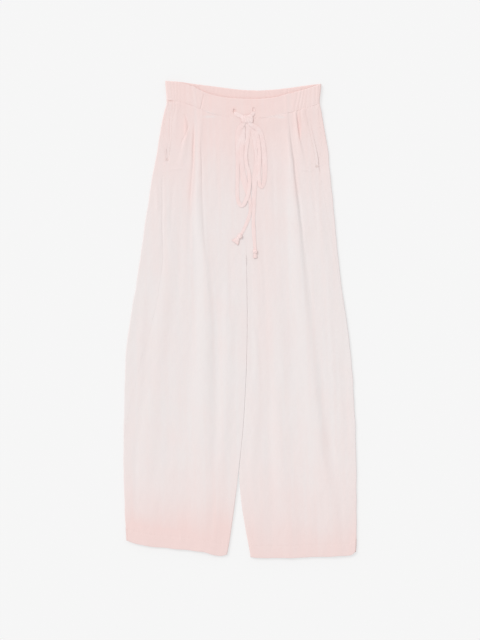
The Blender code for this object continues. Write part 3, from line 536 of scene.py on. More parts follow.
# The drawstring's routes. A point gives its place across and down, how high its underside lies over
# the cloth, how far the flat tie is turned up on its edge, in degrees, and its width there.
ROUTE_LEFT = (
    (-20.9, 68.6, -1.0, 0, 5),
    (-19.6, 70.2, 0.0, 0, 6.5),
    (-16.2, 72.2, 0.1, 0, 8),
    (-8.8, 76.0, 0.4, 2, 9),
    (-1.5, 79.6, 0.6, 2, 8),
    (3.6, 83.4, 0.8, 2, 7),
    (1.6, 88.6, 0.8, 2, 7.5),
    (-1.5, 94.0, 0.7, 1, 9),
    (-5.6, 98.4, 0.6, 0, 10.5),
    (-10.2, 106.0, 0.3, 0, 11.5),
    (-12.2, 118.0, 0.1, 0, 12),
    (-12.4, 135.0, 0.0, 1, 11.5),
    (-12.6, 160.0, 0.0, 2, 9.5),
    (-13.6, 195.0, 0.0, 2, 8),
    (-14.4, 238.0, 0.0, 3, 7.5),
    (-13.2, 256.0, 0.0, 2, 7.5),
    (-8.8, 267.0, 0.1, 2, 8),
    (-3.2, 268.6, 0.2, 1, 8.5),
    (1.8, 262.4, 0.4, 2, 8),
    (5.4, 254.6, 0.5, 2, 7.5),
    (8.2, 246.6, 0.6, 3, 7.5),
    (10.4, 236.0, 0.6, 3, 8),
    (11.7, 224.0, 0.4, 2, 8),
    (11.9, 210.0, 0.1, 2, 8),
    (10.6, 197.0, 0.0, 3, 7.5),
    (6.8, 184.0, 0.0, 4, 7),
    (4.2, 168.0, 0.0, 5, 7),
    (4.4, 150.0, 0.0, 4, 7.5),
    (6.6, 132.0, 0.0, 1, 9.5),
    (8.6, 114.0, 0.0, 0, 10),
    (7.8, 103.0, 0.0, 0, 8),
    (4.6, 94.0, 0.2, 0, 6.5),
    (3.4, 87.0, 0.3, 0, 6),
    (1.2, 83.4, 0.3, 0, 6),
    (-0.8, 87.6, 0.2, 0, 6),
    (-1.6, 94.0, 0.1, 0, 6.5),
    (-2.0, 106.0, 0.0, 0, 9),
    (-2.4, 124.0, 0.0, 0, 9.5),
    (-4.2, 148.0, 0.0, 2, 8.5),
    (-4.7, 170.0, 0.0, 2, 8),
    (-3.0, 196.0, 0.0, 1, 10.5),
    (1.2, 218.0, 0.0, 0, 13),
    (7.4, 239.0, 0.0, 0, 10),
    (12.6, 258.0, 0.0, 2, 8),
    (14.0, 276.0, 0.0, 2, 7),
    (11.4, 292.0, 0.0, 2, 7.5),
    (6.6, 305.0, 0.0, 1, 7.5),
    (0.8, 318.0, 0.0, 0, 7),
    (-5.8, 331.2, 0.0, 0, 6),
)
ROUTE_RIGHT = (
    (20.9, 66.4, -1.2, 0, 4.5),
    (20.7, 68.0, 0.0, 0, 6),
    (20.0, 69.8, 0.1, 0, 7.5),
    (18.4, 71.8, 0.3, 2, 8),
    (15.0, 75.2, 0.5, 2, 8),
    (9.6, 79.4, 0.7, 3, 7),
    (8.6, 85.0, 0.9, 2, 7),
    (11.0, 90.6, 0.8, 2, 7.5),
    (14.2, 94.8, 0.7, 1, 8.5),
    (19.0, 97.4, 0.7, 0, 9.5),
    (25.0, 101.0, 0.7, 0, 10.5),
    (31.5, 106.5, 0.3, 0, 10.5),
    (36.4, 114.0, 0.1, 0, 9.5),
    (39.4, 126.0, 0.0, 2, 9),
    (41.6, 142.0, 0.0, 1, 10),
    (43.6, 162.0, 0.0, 0, 11),
    (45.0, 188.0, 0.0, 1, 10),
    (44.4, 208.0, 0.0, 2, 9),
    (42.4, 222.0, 0.0, 3, 8),
    (38.0, 229.6, 0.1, 2, 7),
    (33.9, 223.0, 0.0, 3, 7),
    (32.6, 208.0, 0.0, 2, 7.5),
    (32.4, 190.0, 0.0, 2, 8),
    (33.4, 168.0, 0.0, 3, 8),
    (33.0, 149.0, 0.0, 3, 7.5),
    (30.8, 131.0, 0.0, 2, 8),
    (27.8, 115.0, 0.0, 0, 7.5),
    (25.2, 105.6, 0.0, 0, 7),
    (22.0, 99.4, 0.0, 0, 6.5),
    (17.2, 93.4, 0.2, 0, 6),
    (13.4, 87.4, 0.3, 0, 6),
    (10.8, 84.2, 0.3, 0, 6),
    (10.0, 88.4, 0.2, 0, 6),
    (10.9, 94.0, 0.1, 0, 6.5),
    (13.4, 99.4, 0.0, 0, 7),
    (17.0, 106.0, 0.0, 0, 8),
    (20.4, 116.0, 0.0, 0, 9.5),
    (23.0, 130.0, 0.0, 0, 10),
    (25.4, 149.0, 0.0, 2, 7.5),
    (26.4, 169.0, 0.0, 2, 7),
    (25.6, 191.0, 0.0, 1, 10),
    (23.4, 215.0, 0.0, 0, 11),
    (21.9, 245.0, 0.0, 1, 9),
    (21.4, 272.0, 0.0, 2, 7.5),
    (20.4, 300.0, 0.0, 2, 7.5),
    (21.4, 330.0, 0.0, 2, 8),
    (24.1, 364.2, 0.0, 0, 6.5),
)

# The knotted, flared ends: where each starts, which way it points, and its sections along it
END_COLUMNS = ("along", "width", "thick")
END_LEFT = (
    (0, 6, 2.2),
    (1.2, 8.4, 3.8),
    (3.6, 9.6, 4.6),
    (6.6, 9.2, 4.4),
    (8.8, 6.6, 2.8),
    (10.4, 6.4, 2.4),
    (14, 10.5, 2.1),
    (18.5, 15, 1.9),
    (22, 18, 1.8),
)
END_RIGHT = (
    (0, 6, 2.2),
    (1.2, 7.8, 3.6),
    (3.4, 8.6, 4.4),
    (6.0, 8.2, 4.2),
    (7.8, 5.6, 2.8),
    (9.2, 5.6, 2.4),
    (12, 7, 2.2),
    (15, 7.8, 2.1),
    (17, 8.2, 2.0),
)
TIE_ENDS = {
    "tie_end_left": (ROUTE_LEFT[-1][:2], (-0.62, 0.785), END_LEFT),
    "tie_end_right": (ROUTE_RIGHT[-1][:2], (0.0, 1.0), END_RIGHT),
}
# The open mouth of a flared end: how far beyond its last section, and the shares of its width and
# thickness there
MOUTH = ((0.3, 0.97, 0.8), (-0.4, 0.88, 0.5), (-3.0, 0.7, 0.3), (-6.0, 0.4, 0.15))
END_SECTION = (0.85, 0.8)  # powers of the sines round a section, across and up
END_FLARE = 0.45  # share of the length where the flare starts
END_RIPPLE = (0.06, 3, 0.9)  # of the knot's surface: height, times round, and turn along it
END_FLUTES = (0.3, 2.4)  # height, and half waves from the middle to each side
END_DYE_AND_SHADE = 0.25  # how much deeper the flare's colour is: deeper dye, and painted shade
# The bow's knot: its bulges' places from its middle and half sizes, and the turn of tie round them,
# with its height, the half sizes of its ellipse, its width and its thickness
KNOT_MIDDLE = (6.6, 83.2)
KNOT_LOBES = ((-6.4, 0.6, (6.6, 7.6, 1.1)), (6.4, -0.6, (6.6, 8.2, 1.2)))
KNOT_WRAP = (1.25, (8.0, 1.0), 9.6, 0.7)
KNOT_REACH = 9.0  # up and down from its middle, the stretch of cloth that the knot lies on
KNOT_DYE = 0.1
LOBE_SECTION = 0.75
LOBE_RIPPLE = (0.07, 6, 3)  # height, times round, and turn along it
LOBE_LEAST = 0.03  # keeps a bulge's flat ends from closing to a point
LOBE_LEAN = 0.12  # how far its rings lean across for each mm down
LOBE_RAISED = 1.05  # height of a bulge's middle, as a share of its half height
WRAP_SECTION = (0.7, 0.6)
WRAP_BULGE = (0.22, 1.9)  # height of the lengthwise ridges, and their turn for each mm
WRAP_WAIST = 0.18  # how much narrower the turn of tie is where it goes round an end
WRAP_SLANT = 2.0  # how far across its upper and lower ends stand


def linear(code):
    """An sRGB hex colour as linear red, green and blue."""
    value = np.array([int(code[i : i + 2], 16) for i in (1, 3, 5)]) / 255
    value = np.where(value <= 0.04045, value / 12.92, ((value + 0.055) / 1.055) ** 2.4)
    return tuple(float(v) for v in value)


# Tables and curves


def column(table, names, name):
    """One named column of a table."""
    return np.array([row[names.index(name)] for row in table], float)


def through(places, values, at):
    """A smooth curve through the values: cubic pieces whose slope at each place is the harmonic
    mean of the slopes on its two sides, and none at a turn."""
    at = np.clip(at, places[0], places[-1])
    step = np.diff(places)
    rise = np.diff(values) / step
    both = rise[:-1] * rise[1:]
    inner = np.where(both > 0, 2 * both / np.where(both > 0, rise[:-1] + rise[1:], 1.0), 0.0)
    slope = np.concatenate([[rise[0]], inner, [rise[-1]]])
    i = np.clip(np.searchsorted(places, at, side="right") - 1, 0, len(step) - 1)
    t = (at - places[i]) / step[i]
    start = (1 + 2 * t) * (1 - t) ** 2 * values[i] + t * (1 - t) ** 2 * step[i] * slope[i]
    end = t**2 * (3 - 2 * t) * values[i + 1] + t**2 * (t - 1) * step[i] * slope[i + 1]
    return start + end


def look_up(table, names, name, at):
    """A named column of a table, read off at places in its first column."""
    known, values = column(table, names, names[0]), column(table, names, name)
    return through(known, values, np.asarray(at, float))


def soft_step(low, high, value):
    """0 below low, 1 above high, and 3t^2 - 2t^3 between."""
    t = np.clip((value - low) / (high - low), 0, 1)
    return t * t * (3 - 2 * t)


def bump(away, half_width):
    """1 in the middle, falling as a squared cosine to 0 at the half width."""
    return np.cos(np.clip(np.abs(away) / half_width, 0, 1) * math.pi / 2) ** 2


def waves(x, y, size_x, size_y, seed):
    """An uneven surface from -1 to 1 or so: a sum of sines whose lengths are spread round size_x
    and size_y, with fixed draws from the seed."""
    rng = np.random.default_rng(seed)
    kx, ky = rng.normal(size=(2, WAVE_COUNT))
    phase = rng.uniform(0, 2 * math.pi, WAVE_COUNT)
    total = 0.0
    for k in range(WAVE_COUNT):
        total = total + np.sin(2 * math.pi * (x * kx[k] / size_x + y * ky[k] / size_y) + phase[k])
    return total / math.sqrt(WAVE_COUNT)


def ripple(along, size, seed):
    """The same unevenness along a line."""
    return waves(along, 0 * along, size, 1, seed)


def turns(count):
    """Angles at even steps round a circle, the first half a step from 0."""
    return (np.arange(count) + 0.5) * 2 * math.pi / count


def signed_power(values, exponent):
    """|v|^exponent with the sign of v. It squares up a circle's sines and cosines."""
    return np.sign(values) * np.abs(values) ** exponent


def distances(points):
    """How far along their line the points lie, from 0 at the first."""
    return np.concatenate([[0], np.cumsum(np.linalg.norm(np.diff(points, axis=0), axis=1))])


def sampled(at, along, values):
    """Each column of the values, read off at other distances along their line."""
    return np.stack([np.interp(at, along, numbers) for numbers in values.T], axis=1)


# The trousers' plan, from the same tables as the solids


def side_name(leg):
    """The side of a leg, or of the waistband: -1 is the viewer's left."""
    return "left" if leg < 0 else "right"


def outer_line(leg, down):
    """The outer edge of a leg, across."""
    return look_up(OUTLINE, OUTLINE_COLUMNS, side_name(leg) + "_out", down)


def inner_line(leg, down):
    """The inner edge of a leg, half the gap between the legs away from their shared line."""
    middle = look_up(OUTLINE, OUTLINE_COLUMNS, side_name(leg) + "_in", down)
    return middle + leg * LEG_GAP / 2


def band_line(face, across):
    """The upper edge of the front or back of the waistband, down."""
    return look_up(BAND, BAND_COLUMNS, face + "_top", across)


def fold_height(rows, leg, share, down):
    """A fold's height: its crest's height times a squared cosine of the distance from the crest,
    measured in its slope's width on that side."""
    down = np.clip(down, rows[0][0], rows[-1][0])
    width = np.abs(inner_line(leg, down) - outer_line(leg, down))
    away = (share - look_up(rows, FOLD_COLUMNS, "share", down)) * width
    outer = look_up(rows, FOLD_COLUMNS, "outer_slope", down)
    inner = look_up(rows, FOLD_COLUMNS, "inner_slope", down)
    height = look_up(rows, FOLD_COLUMNS, "height", down)
    return height * bump(away, np.where(away < 0, outer, inner))


def crease_relief(leg, across, down):
    """The fine creases' height and the shade painted into them. Each crease is a squared cosine
    across its bowed line, and fades out as a sine towards the line's two ends."""
    height = 0.0
    painted_shade = 0.0
    for row in CREASES:
        crease = dict(zip(CREASE_COLUMNS, row))
        if crease["leg"] != leg:
            continue
        reach_across = crease["to_across"] - crease["from_across"]
        reach_down = crease["to_down"] - crease["from_down"]
        length = math.hypot(reach_across, reach_down)
        x = across - crease["from_across"]
        y = down - crease["from_down"]
        t = np.clip((x * reach_across + y * reach_down) / length**2, 0, 1)
        aside = (x * reach_down - y * reach_across) / length - crease["bow"] * 4 * t * (1 - t)
        shape = bump(aside, crease["half_width"]) * np.sin(t * math.pi) ** CREASE_FADE
        height = height + crease["height"] * shape
        # Narrow troughs get painted shade as deeper colour, spread a little beyond them
        if crease["half_width"] < SHARP_CREASE and crease["height"] < 0:
            beyond = bump(aside, crease["half_width"] + CREASE_SHADE_BEYOND)
            painted_shade = painted_shade - crease["height"] * (beyond * np.sin(t * math.pi) ** CREASE_SHADE_FADE)
    return height, painted_shade


def gather_wave(run, share, pitch, seed):
    """Gathers from 0 to 1 along the waistband: raised cosines whose pitch drifts, which lean a
    little and are unequally high."""
    (far, far_length), (near, near_length) = GATHER_DRIFT
    drift = far * np.sin(run / far_length) + near * np.sin(run / near_length + 2 * seed)
    tilt, tilt_length = GATHER_LEAN
    lean = tilt * np.sin(run / tilt_length + seed) * (share - 0.5)
    turn = 2 * math.pi * (run / pitch + drift + lean)
    plain, (small, small_length), (broad, broad_length) = GATHER_HEIGHTS
    unequal = plain + small * np.sin(run / small_length + seed)
    unequal = unequal + broad * np.sin(run / broad_length + 3 * seed)
    return ((1 - np.cos(turn)) / 2) ** GATHER_POWER * unequal


def puckers(leg, across, down):
    """The gathers go on for a short way below the band, and die out as a bell of the distance."""
    below = down - band_line("front", across) - BAND_HEIGHT
    run = np.abs(outer_line(leg, SIDE_SEAM_DOWN)) - np.abs(across) - BAND_MIDDLE
    wave = gather_wave(run, 1.0, GATHER_PITCH, leg)
    fade = np.exp(-((below / PUCKER_REACH) ** 2)) * soft_step(0, PUCKER_RISE, below)
    low, high = (FLAT_FRONT + away for away in PUCKERS_FROM)
    return PUCKERS[leg] * wave * fade * soft_step(low, high, np.abs(across))


def front_height(leg, share, down):
    """The front's outer face above the floor: loft, pleats, folds, creases, gathers and rumples."""
    share = np.asarray(share, float)
    down = np.asarray(down, float)
    outer = outer_line(leg, down)
    across = outer + (inner_line(leg, down) - outer) * share
    height = look_up(LOFT, LOFT_COLUMNS, "height", down)
    below = down - band_line("front", across) - BAND_HEIGHT
    height = height + (FLUSH - height) * (1 - soft_step(0, FLUSH_REACH, below))
    height = height + fold_height(INNER_PLEATS[leg], leg, share, down)
    height = height + fold_height(OUTER_PLEATS[leg], leg, share, down)
    for fold_leg, rows in SOFT_FOLDS:
        if fold_leg == leg:
            height = height + fold_height(rows, leg, share, down)
    rumple = bpy.context.scene.trouser_cloth.rumple / MM
    for part, size_across, size_down, seed in RUMPLES:
        height = height + rumple * part * waves(across, down, size_across, size_down, seed + leg)
    return height + crease_relief(leg, across, down)[0] + puckers(leg, across, down)


def hem_dent(rows, across):
    """The hem's step, the dent along its stitching and the small puckers beside it."""
    before, after = HEM_STEP_REACH
    step = HEM_STEP * soft_step(HEM_FROM - before, HEM_FROM + after, rows)
    depth, reach = HEM_DENT
    height, pucker_reach, size, seed = HEM_PUCKER
    pucker = bump(rows - HEM_STITCH, pucker_reach) * ripple(across, size, seed)
    return step - depth * bump(rows - HEM_STITCH, reach) + height * pucker


def edge(run, reach):
    """A rounded edge unrolled: for a distance along the cloth from the edge's middle, how far in
    the cloth lies (reach * (1 - cos)) and how much of its full height it has (sin)."""
    angle = np.clip(run / reach, 0, math.pi / 2)
    return reach * (1 - np.cos(angle)) + np.maximum(run - reach * math.pi / 2, 0), np.sin(angle)


def row_ends(leg, rows, face):
    """For each row, where its outer and inner ends are across, how far the inner edge's rounding
    reaches, and the row's length along the cloth."""
    outer_top = band_line(face, outer_line(leg, SIDE_SEAM_DOWN)) + BAND_HEIGHT - SEWN_IN
    inner_top = band_line(face, inner_line(leg, SIDE_SEAM_DOWN)) + BAND_HEIGHT - SEWN_IN
    hem = [look_up(HEM, HEM_COLUMNS, side_name(leg), share) for share in (0.0, 1.0)]
    outer_down = outer_top + (hem[0] - outer_top) * rows
    inner_down = inner_top + (hem[1] - inner_top) * rows
    far, size, seed = SIDE_STRAYS
    x_out = outer_line(leg, outer_down) + far * ripple(outer_down, size, seed + leg)
    x_in = inner_line(leg, inner_down)
    apart = inner_line(1, inner_down) - inner_line(-1, inner_down)
    reach = INNER_RUN + (EDGE_RUN - INNER_RUN) * soft_step(LEG_GAP, PARTED, apart)
    length = np.abs(x_in - x_out) + (EDGE_RUN + reach) * (math.pi / 2 - 1)
    return x_out, x_in, reach, length


def ring_plan(leg, rows, runs, face):
    """Where points of a leg's flattened ring lie: across, down, share of the leg's width, and share
    of the full height, which falls to nothing at the middle of the leg's rounded edges. The inner
    edge is rounded below the crotch and runs flat to the middle seam above it."""
    x_out, x_in, reach, length = row_ends(leg, rows, face)
    width = np.abs(x_in - x_out)
    near_outer, outer_lift = edge(runs, EDGE_RUN)
    near_inner, inner_lift = edge(length - runs, reach)
    share = np.where(runs < length / 2, near_outer, width - near_inner) / width
    ends = outer_line(leg, SIDE_SEAM_DOWN), inner_line(leg, SIDE_SEAM_DOWN)
    top_across = (1 - share) * ends[0] + share * ends[1]
    top = band_line(face, top_across) + BAND_HEIGHT - SEWN_IN
    far, size, seed = HEM_STRAYS
    hem = look_up(HEM, HEM_COLUMNS, side_name(leg), share)
    hem = hem + far * ripple(share * HEM_WIDTH, size, seed + leg)
    down = (1 - rows) * top + rows * hem
    legs_part = soft_step(CROTCH_FROM, CROTCH_TO, rows)
    lift = outer_lift * (1 - legs_part * (1 - inner_lift))
    return x_out + (x_in - x_out) * share, down, share, lift


def over_the_top(leg, rows, runs, wrap=False):
    """The ring's points over the top of the leg. wrap gives the cloth that comes round the side,
    which lies under the pocket's edge."""
    across, down, share, lift = ring_plan(leg, rows, runs, "front")
    height = front_height(leg, share, down) + hem_dent(rows, across)
    if wrap:
        sunk = soft_step(0, POCKET_TOP[leg], rows) * (1 - soft_step(POCKET_END, POCKET_FADE, rows))
        height = height - POCKET_DROP[leg] * sunk
    else:
        gape_row, gape = POCKET_GAPE[leg]
        down_reach, in_reach = POCKET_GAPE_REACH
        from_edge = runs - seam_runs(leg, "pocket", rows)
        height = height + gape * bump(rows - gape_row, down_reach) * bump(from_edge, in_reach)
    height = EDGE_MIDDLE + (height - EDGE_MIDDLE) * lift
    return np.stack([across, -down, height], axis=-1)


def underneath(leg, rows, runs):
    """The ring's points along the floor."""
    across, down, _, lift = ring_plan(leg, rows, runs, "back")
    return np.stack([across, -down, EDGE_MIDDLE * (1 - lift)], axis=-1)


def seam_runs(leg, edge_name, rows):
    """How far along the cloth from the outer edge's middle a seam lies, at each row."""
    outer_top = band_line("front", outer_line(leg, SIDE_SEAM_DOWN)) + BAND_HEIGHT
    down = outer_top + (look_up(HEM, HEM_COLUMNS, side_name(leg), 0.0) - outer_top) * rows
    inwards = look_up(SIDE, SIDE_COLUMNS, side_name(leg) + "_" + edge_name, down)
    beyond, on_edge = inwards + EDGE_ARC - EDGE_RUN, inwards * EDGE_ARC / EDGE_RUN
    return np.where(inwards > EDGE_RUN, beyond, on_edge)


def pleat_runs(leg, pleat, rows):
    """How far along the cloth a pleat's outer foot, crest and inner foot lie, at each row."""
    x_out, x_in = row_ends(leg, rows, "front")[:2]
    top = band_line("front", leg * FLAT_FRONT) + BAND_HEIGHT
    down = top + (look_up(HEM, HEM_COLUMNS, side_name(leg), 0.5) - top) * rows
    crest = look_up(pleat, FOLD_COLUMNS, "share", down) * np.abs(x_in - x_out)
    outer = crest - look_up(pleat, FOLD_COLUMNS, "outer_slope", down)
    inner = crest + look_up(pleat, FOLD_COLUMNS, "inner_slope", down)
    return [run + EDGE_ARC - EDGE_RUN for run in (outer, crest, inner)]


def between(guides, counts):
    """Columns at the guide lines, with counts[k] even intervals from guide k to guide k + 1."""
    runs = []
    for start, end, count in zip(guides[:-1], guides[1:], counts):
        runs.append(start + (end - start) * np.arange(count) / count)
    return np.concatenate(runs + [guides[-1]], axis=1)


def in_order(guides):
    """The guide lines, each moved to lie far enough beyond the one before it."""
    ordered = guides[:1]
    for guide in guides[1:]:
        ordered.append(np.maximum(guide, ordered[-1] + GUIDE_APART))
    return ordered


# Sheets of cloth


def unit(vectors):
    """The vectors, each with a length of 1."""
    return vectors / np.linalg.norm(vectors, axis=-1, keepdims=True)


def facing(grid, outward):
    """The unit normal at each point of a grid, from the cross product of its rows and columns."""
    return unit(np.cross(np.gradient(grid, axis=0), np.gradient(grid, axis=1))) * outward


def tuck(grid, outward, rims=(0, -1)):
    """Turns the outermost columns down into the seam: a quarter of a circle and a short drop."""
    normal = facing(grid, outward)
    parts = [grid]
    for rim in rims:
        away = unit(grid[:, rim] - grid[:, 1 if rim == 0 else -2])
        added = []
        for angle in (math.pi / 6, math.pi / 3, math.pi / 2):
            out = away * math.sin(angle) - normal[:, rim] * (1 - math.cos(angle))
            added.append(grid[:, rim] + TUCK * out)
        added.append(added[-1] - normal[:, rim] * (TUCK_DEEP - TUCK))
        added = np.stack(added, axis=1)
        parts = [added[:, ::-1]] + parts if rim == 0 else parts + [added]
    return np.concatenate(parts, axis=1)


def turned_hem(grid, rows, outward):
    """Folds the cloth under at the last row, half a circle, and takes it back up inside the hem."""
    normal = facing(grid, outward)
    onward = unit(grid[-1] - grid[-2])
    angle = np.linspace(0, math.pi, HEM_TURN_POINTS)[1:, None, None]
    fold = grid[-1] + HEM_RADIUS * (np.sin(angle) * onward - (1 - np.cos(angle)) * normal[-1])
    inside = grid - 2 * HEM_RADIUS * normal
    return np.concatenate([grid, fold, inside[rows > HEM_FROM][::-1]], axis=0)


def dye_and_painted_light(grid, leg=0):
    """How deep the cloth's colour is at each point: the dip-dye's band down the garment, soft
    patches of uneven dye, painted shade and painted highlights, streaks along the cloth's length,
    shade painted into the creases, and a painted highlight along the band's lower lip."""
    across, down = grid[..., 0], -grid[..., 1]
    streaks = sum(part * waves(across, down, *sizes_seed) for part, *sizes_seed in DYE_STREAKS)
    drift, *sizes_seed = DYE_DRIFT
    drifted = down + drift * waves(across, down, *sizes_seed)
    depth = look_up(DYE, DYE_COLUMNS, "depth", drifted) + streaks
    # Soft patches of uneven dye, painted shade and painted highlights
    for row in DYE_SHADE_AND_HIGHLIGHT_PATCHES:
        spot = dict(zip(PATCH_COLUMNS, row))
        away = ((across - spot["across"]) / spot["half_across"]) ** 2
        away = away + ((down - spot["down"]) / spot["half_down"]) ** 2
        depth = depth + spot["amount"] * np.exp(-away)
    share = (down - band_line("front", across)) / BAND_HEIGHT
    # A painted highlight along the band's lower lip, as paler colour
    highlight, middle, reach = LIP_HIGHLIGHT
    depth = depth - highlight * lower_lip(across) * bump(share - middle, reach)
    if leg:
        # Painted shade in the creases, as deeper colour
        depth = depth + CREASE_SHADE * crease_relief(leg, across, down)[1]
    return np.clip(depth, 0, DYE_MOST)


# Making meshes


def place(points):
    """From millimetres across, up the page and above the floor to the frame, in metres."""
    middle_x = (column(OUTLINE, OUTLINE_COLUMNS, "left_out").min()) / 2
    middle_x += (column(OUTLINE, OUTLINE_COLUMNS, "right_out").max()) / 2
    lowest = column(HEM, HEM_COLUMNS, "right").max()
    highest = column(BAND, BAND_COLUMNS, "back_top").min()
    return (np.asarray(points, float) - (middle_x, -(lowest + highest) / 2, 0)) * MM


def grid_quads(rows, columns, around=False):
    """The quads of a grid of points, closed round its columns if around."""
    i, k = np.meshgrid(np.arange(rows - 1), np.arange(columns - (not around)), indexing="ij")
    after = (k + 1) % columns
    a, b = i * columns + k, i * columns + after
    return np.stack([a, b, b + columns, a + columns], axis=-1).reshape(-1, 4)


def new_piece(name, points, quads, material, values=None, caps=(), sharp=None):
    """Puts points and faces into a mesh object that rides on the trousers' one body."""
    mesh = bpy.data.meshes.new(name)
    faces = quads.tolist() + [list(map(int, cap)) for cap in caps]
    mesh.from_pydata(place(points).tolist(), [], faces)
    for label, numbers in (values or {}).items():
        kind, field = ("FLOAT_VECTOR", "vector") if numbers.ndim == 2 else ("FLOAT", "value")
        layer = mesh.attributes.new(label, kind, "POINT")
        layer.data.foreach_set(field, numbers.astype(float).ravel())
    mesh.shade_smooth()
    if sharp is not None:
        mesh.set_sharp_from_angle(angle=math.radians(sharp))
    mesh.materials.append(bpy.data.materials[material])
    piece = bpy.data.objects.new(name, mesh)
    bpy.context.scene.collection.objects.link(piece)
    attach(piece, "root")
    return piece


def sheet_piece(name, grid, outward, leg):
    """A panel in place of the solid of that name: a sheet of cloth through a grid of points, with
    its thickness on the inner side."""
    quads = grid_quads(*grid.shape[:2])
    if outward > 0:
        quads = quads[:, ::-1]
    values = {"dye": dye_and_painted_light(grid, leg).ravel()}
    piece = new_piece(name + "_cloth", grid.reshape(-1, 3), quads, CLOTH_MATERIAL, values)
    wall = piece.modifiers.new("thickness", "SOLIDIFY")
    wall.thickness = bpy.context.scene.trouser_cloth.thickness
    wall.offset = -1
    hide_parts(name)
    return piece


def faces_inwards(points, quads):
    """Whether a closed form's quads face inwards. The sign of its volume, the sum of
    a . (b x c) / 6 over its triangles, says so."""
    a, b, c, d = (points[quads[:, k]] for k in range(4))
    return (a * np.cross(b, c)).sum() + (a * np.cross(c, d)).sum() < 0


def swept(rings):
    """Quads and end caps of a closed tube through rings of equal size, turned to face outwards."""
    rows, size = rings.shape[:2]
    quads = grid_quads(rows, size, around=True)
    first, last = np.arange(size)[::-1], np.arange(size) + (rows - 1) * size
    if faces_inwards(rings.reshape(-1, 3), quads):
        return quads[:, ::-1], [first[::-1], last[::-1]]
    return quads, [first, last]


def tube_piece(name, rings, material, values):
    """A closed tube through rings, with flat ends."""
    quads, caps = swept(rings)
    return new_piece(name, rings.reshape(-1, 3), quads, material, values, caps, sharp=60)


def smooth_route(points, step):
    """Points a step apart along a smooth curve (Catmull-Rom) through the route's own points. The
    columns after the first two are carried along."""
    p = np.concatenate([2 * points[:1] - points[1:2], points, 2 * points[-1:] - points[-2:-1]])
    t = np.linspace(0, 1, CURVE_POINTS, endpoint=False)[:, None]
    fine = []
    for a, b, c, d in zip(p[:-3], p[1:-2], p[2:-1], p[3:]):
        bend = (2 * a - 5 * b + 4 * c - d) * t**2 + (3 * b - a - 3 * c + d) * t**3
        fine.append((2 * b + (c - a) * t + bend) / 2)
    fine = np.concatenate(fine + [points[-1:]])
    along = distances(fine[:, :2])
    at = np.linspace(0, along[-1], math.ceil(along[-1] / step) + 1)
    return sampled(at, along, fine)


def stitch_lines(name, lines):
    """Rows of stitches: each is a small tapered roll of thread laid along its line. Lines are pairs
    of points and normals, and a stitch's points are centre + along * T + aside * S + up * N."""
    cloth = bpy.context.scene.trouser_cloth
    length, thick = cloth.stitch_length / MM, cloth.thread / MM
    pitch = length * STITCH_PITCH
    turn = np.arange(STITCH_POINTS) * 2 * math.pi / STITCH_POINTS
    rings = []
    for along, full in STITCH_RINGS:
        across, up = np.cos(turn) * thick / 2 * full, np.sin(turn) * thick / 2 * full
        rings.append(np.stack([np.full(STITCH_POINTS, along * length), across, up], axis=-1))
    shape = np.stack(rings)
    quads, caps = swept(shape)
    centres, frames = [], []
    for points, normals in lines:
        gone = distances(points)
        at = np.arange(pitch / 2, gone[-1], pitch)
        up = unit(sampled(at, gone, normals))
        ahead, behind = (sampled(at + look, gone, points) for look in (STITCH_LOOK, -STITCH_LOOK))
        tangent = unit(ahead - behind)
        centres.append(sampled(at, gone, points))
        frames.append(np.stack([tangent, np.cross(up, tangent), up], axis=1))
    centres, frames = np.concatenate(centres), np.concatenate(frames)
    points = centres[:, None] + shape.reshape(1, -1, 3) @ frames
    size = shape.shape[0] * shape.shape[1]
    starts = (np.arange(len(centres)) * size)[:, None]
    all_quads = (quads[None] + starts[..., None]).reshape(-1, 4)
    all_caps = np.concatenate([starts + cap for cap in caps])
    return new_piece(name, points.reshape(-1, 3), all_quads, THREAD_MATERIAL, caps=all_caps)


# The drawstring


def cloth_top(across, down):
    """The upper face of the trousers' front at each place, on the waistband or on a panel."""
    heights = []
    for leg in (-1, 1):
        outer = outer_line(leg, down)
        share = np.clip((across - outer) / (inner_line(leg, down) - outer), 0, 1)
        heights.append(front_height(leg, share, down))
    panel = np.where(across < inner_line(-1, down), *heights)
    return np.where(down < band_line("front", across) + BAND_HEIGHT + OFF_BAND, BAND_TOP, panel)


def tie_centre(route):
    """The middle of a flat tie along its route, its roll and its width, every 2.5 mm. It lies on
    the cloth: its height is the cloth's, smoothed over 25 mm, plus half of what it stands up."""
    thick = bpy.context.scene.trouser_tie.thick / MM
    across, down, lift, roll, width = smooth_route(np.array(route, float), TIE_STEP).T
    top = cloth_top(across, down)
    window = np.hanning(2 * TIE_SMOOTHED + 3)[1:-1] / (TIE_SMOOTHED + 1)
    soft = np.convolve(np.pad(top, TIE_SMOOTHED, mode="edge"), window, mode="valid")
    roll = np.radians(roll)
    half = thick / 2 * np.cos(roll) + width / 2 * np.sin(roll)
    height = np.maximum(soft, top - TIE_SINKS) + TIE_CLEAR + lift + half
    return np.stack([across, -down, height], axis=1), roll, width


def tape_section(width, thick):
    """A flat tie's section: a pressed-flat tube (powers of the cosine across and of the sine up),
    thinner along the two lines where its edges are stitched."""
    turn = turns(TIE_POINTS)
    across_power, up_power = TIE_SECTION
    side = signed_power(np.cos(turn), across_power)
    thinner, line, reach = TIE_HEM
    up = signed_power(np.sin(turn), up_power) * (1 - thinner * bump(np.abs(side) - line, reach))
    return side * width / 2, up * thick / 2


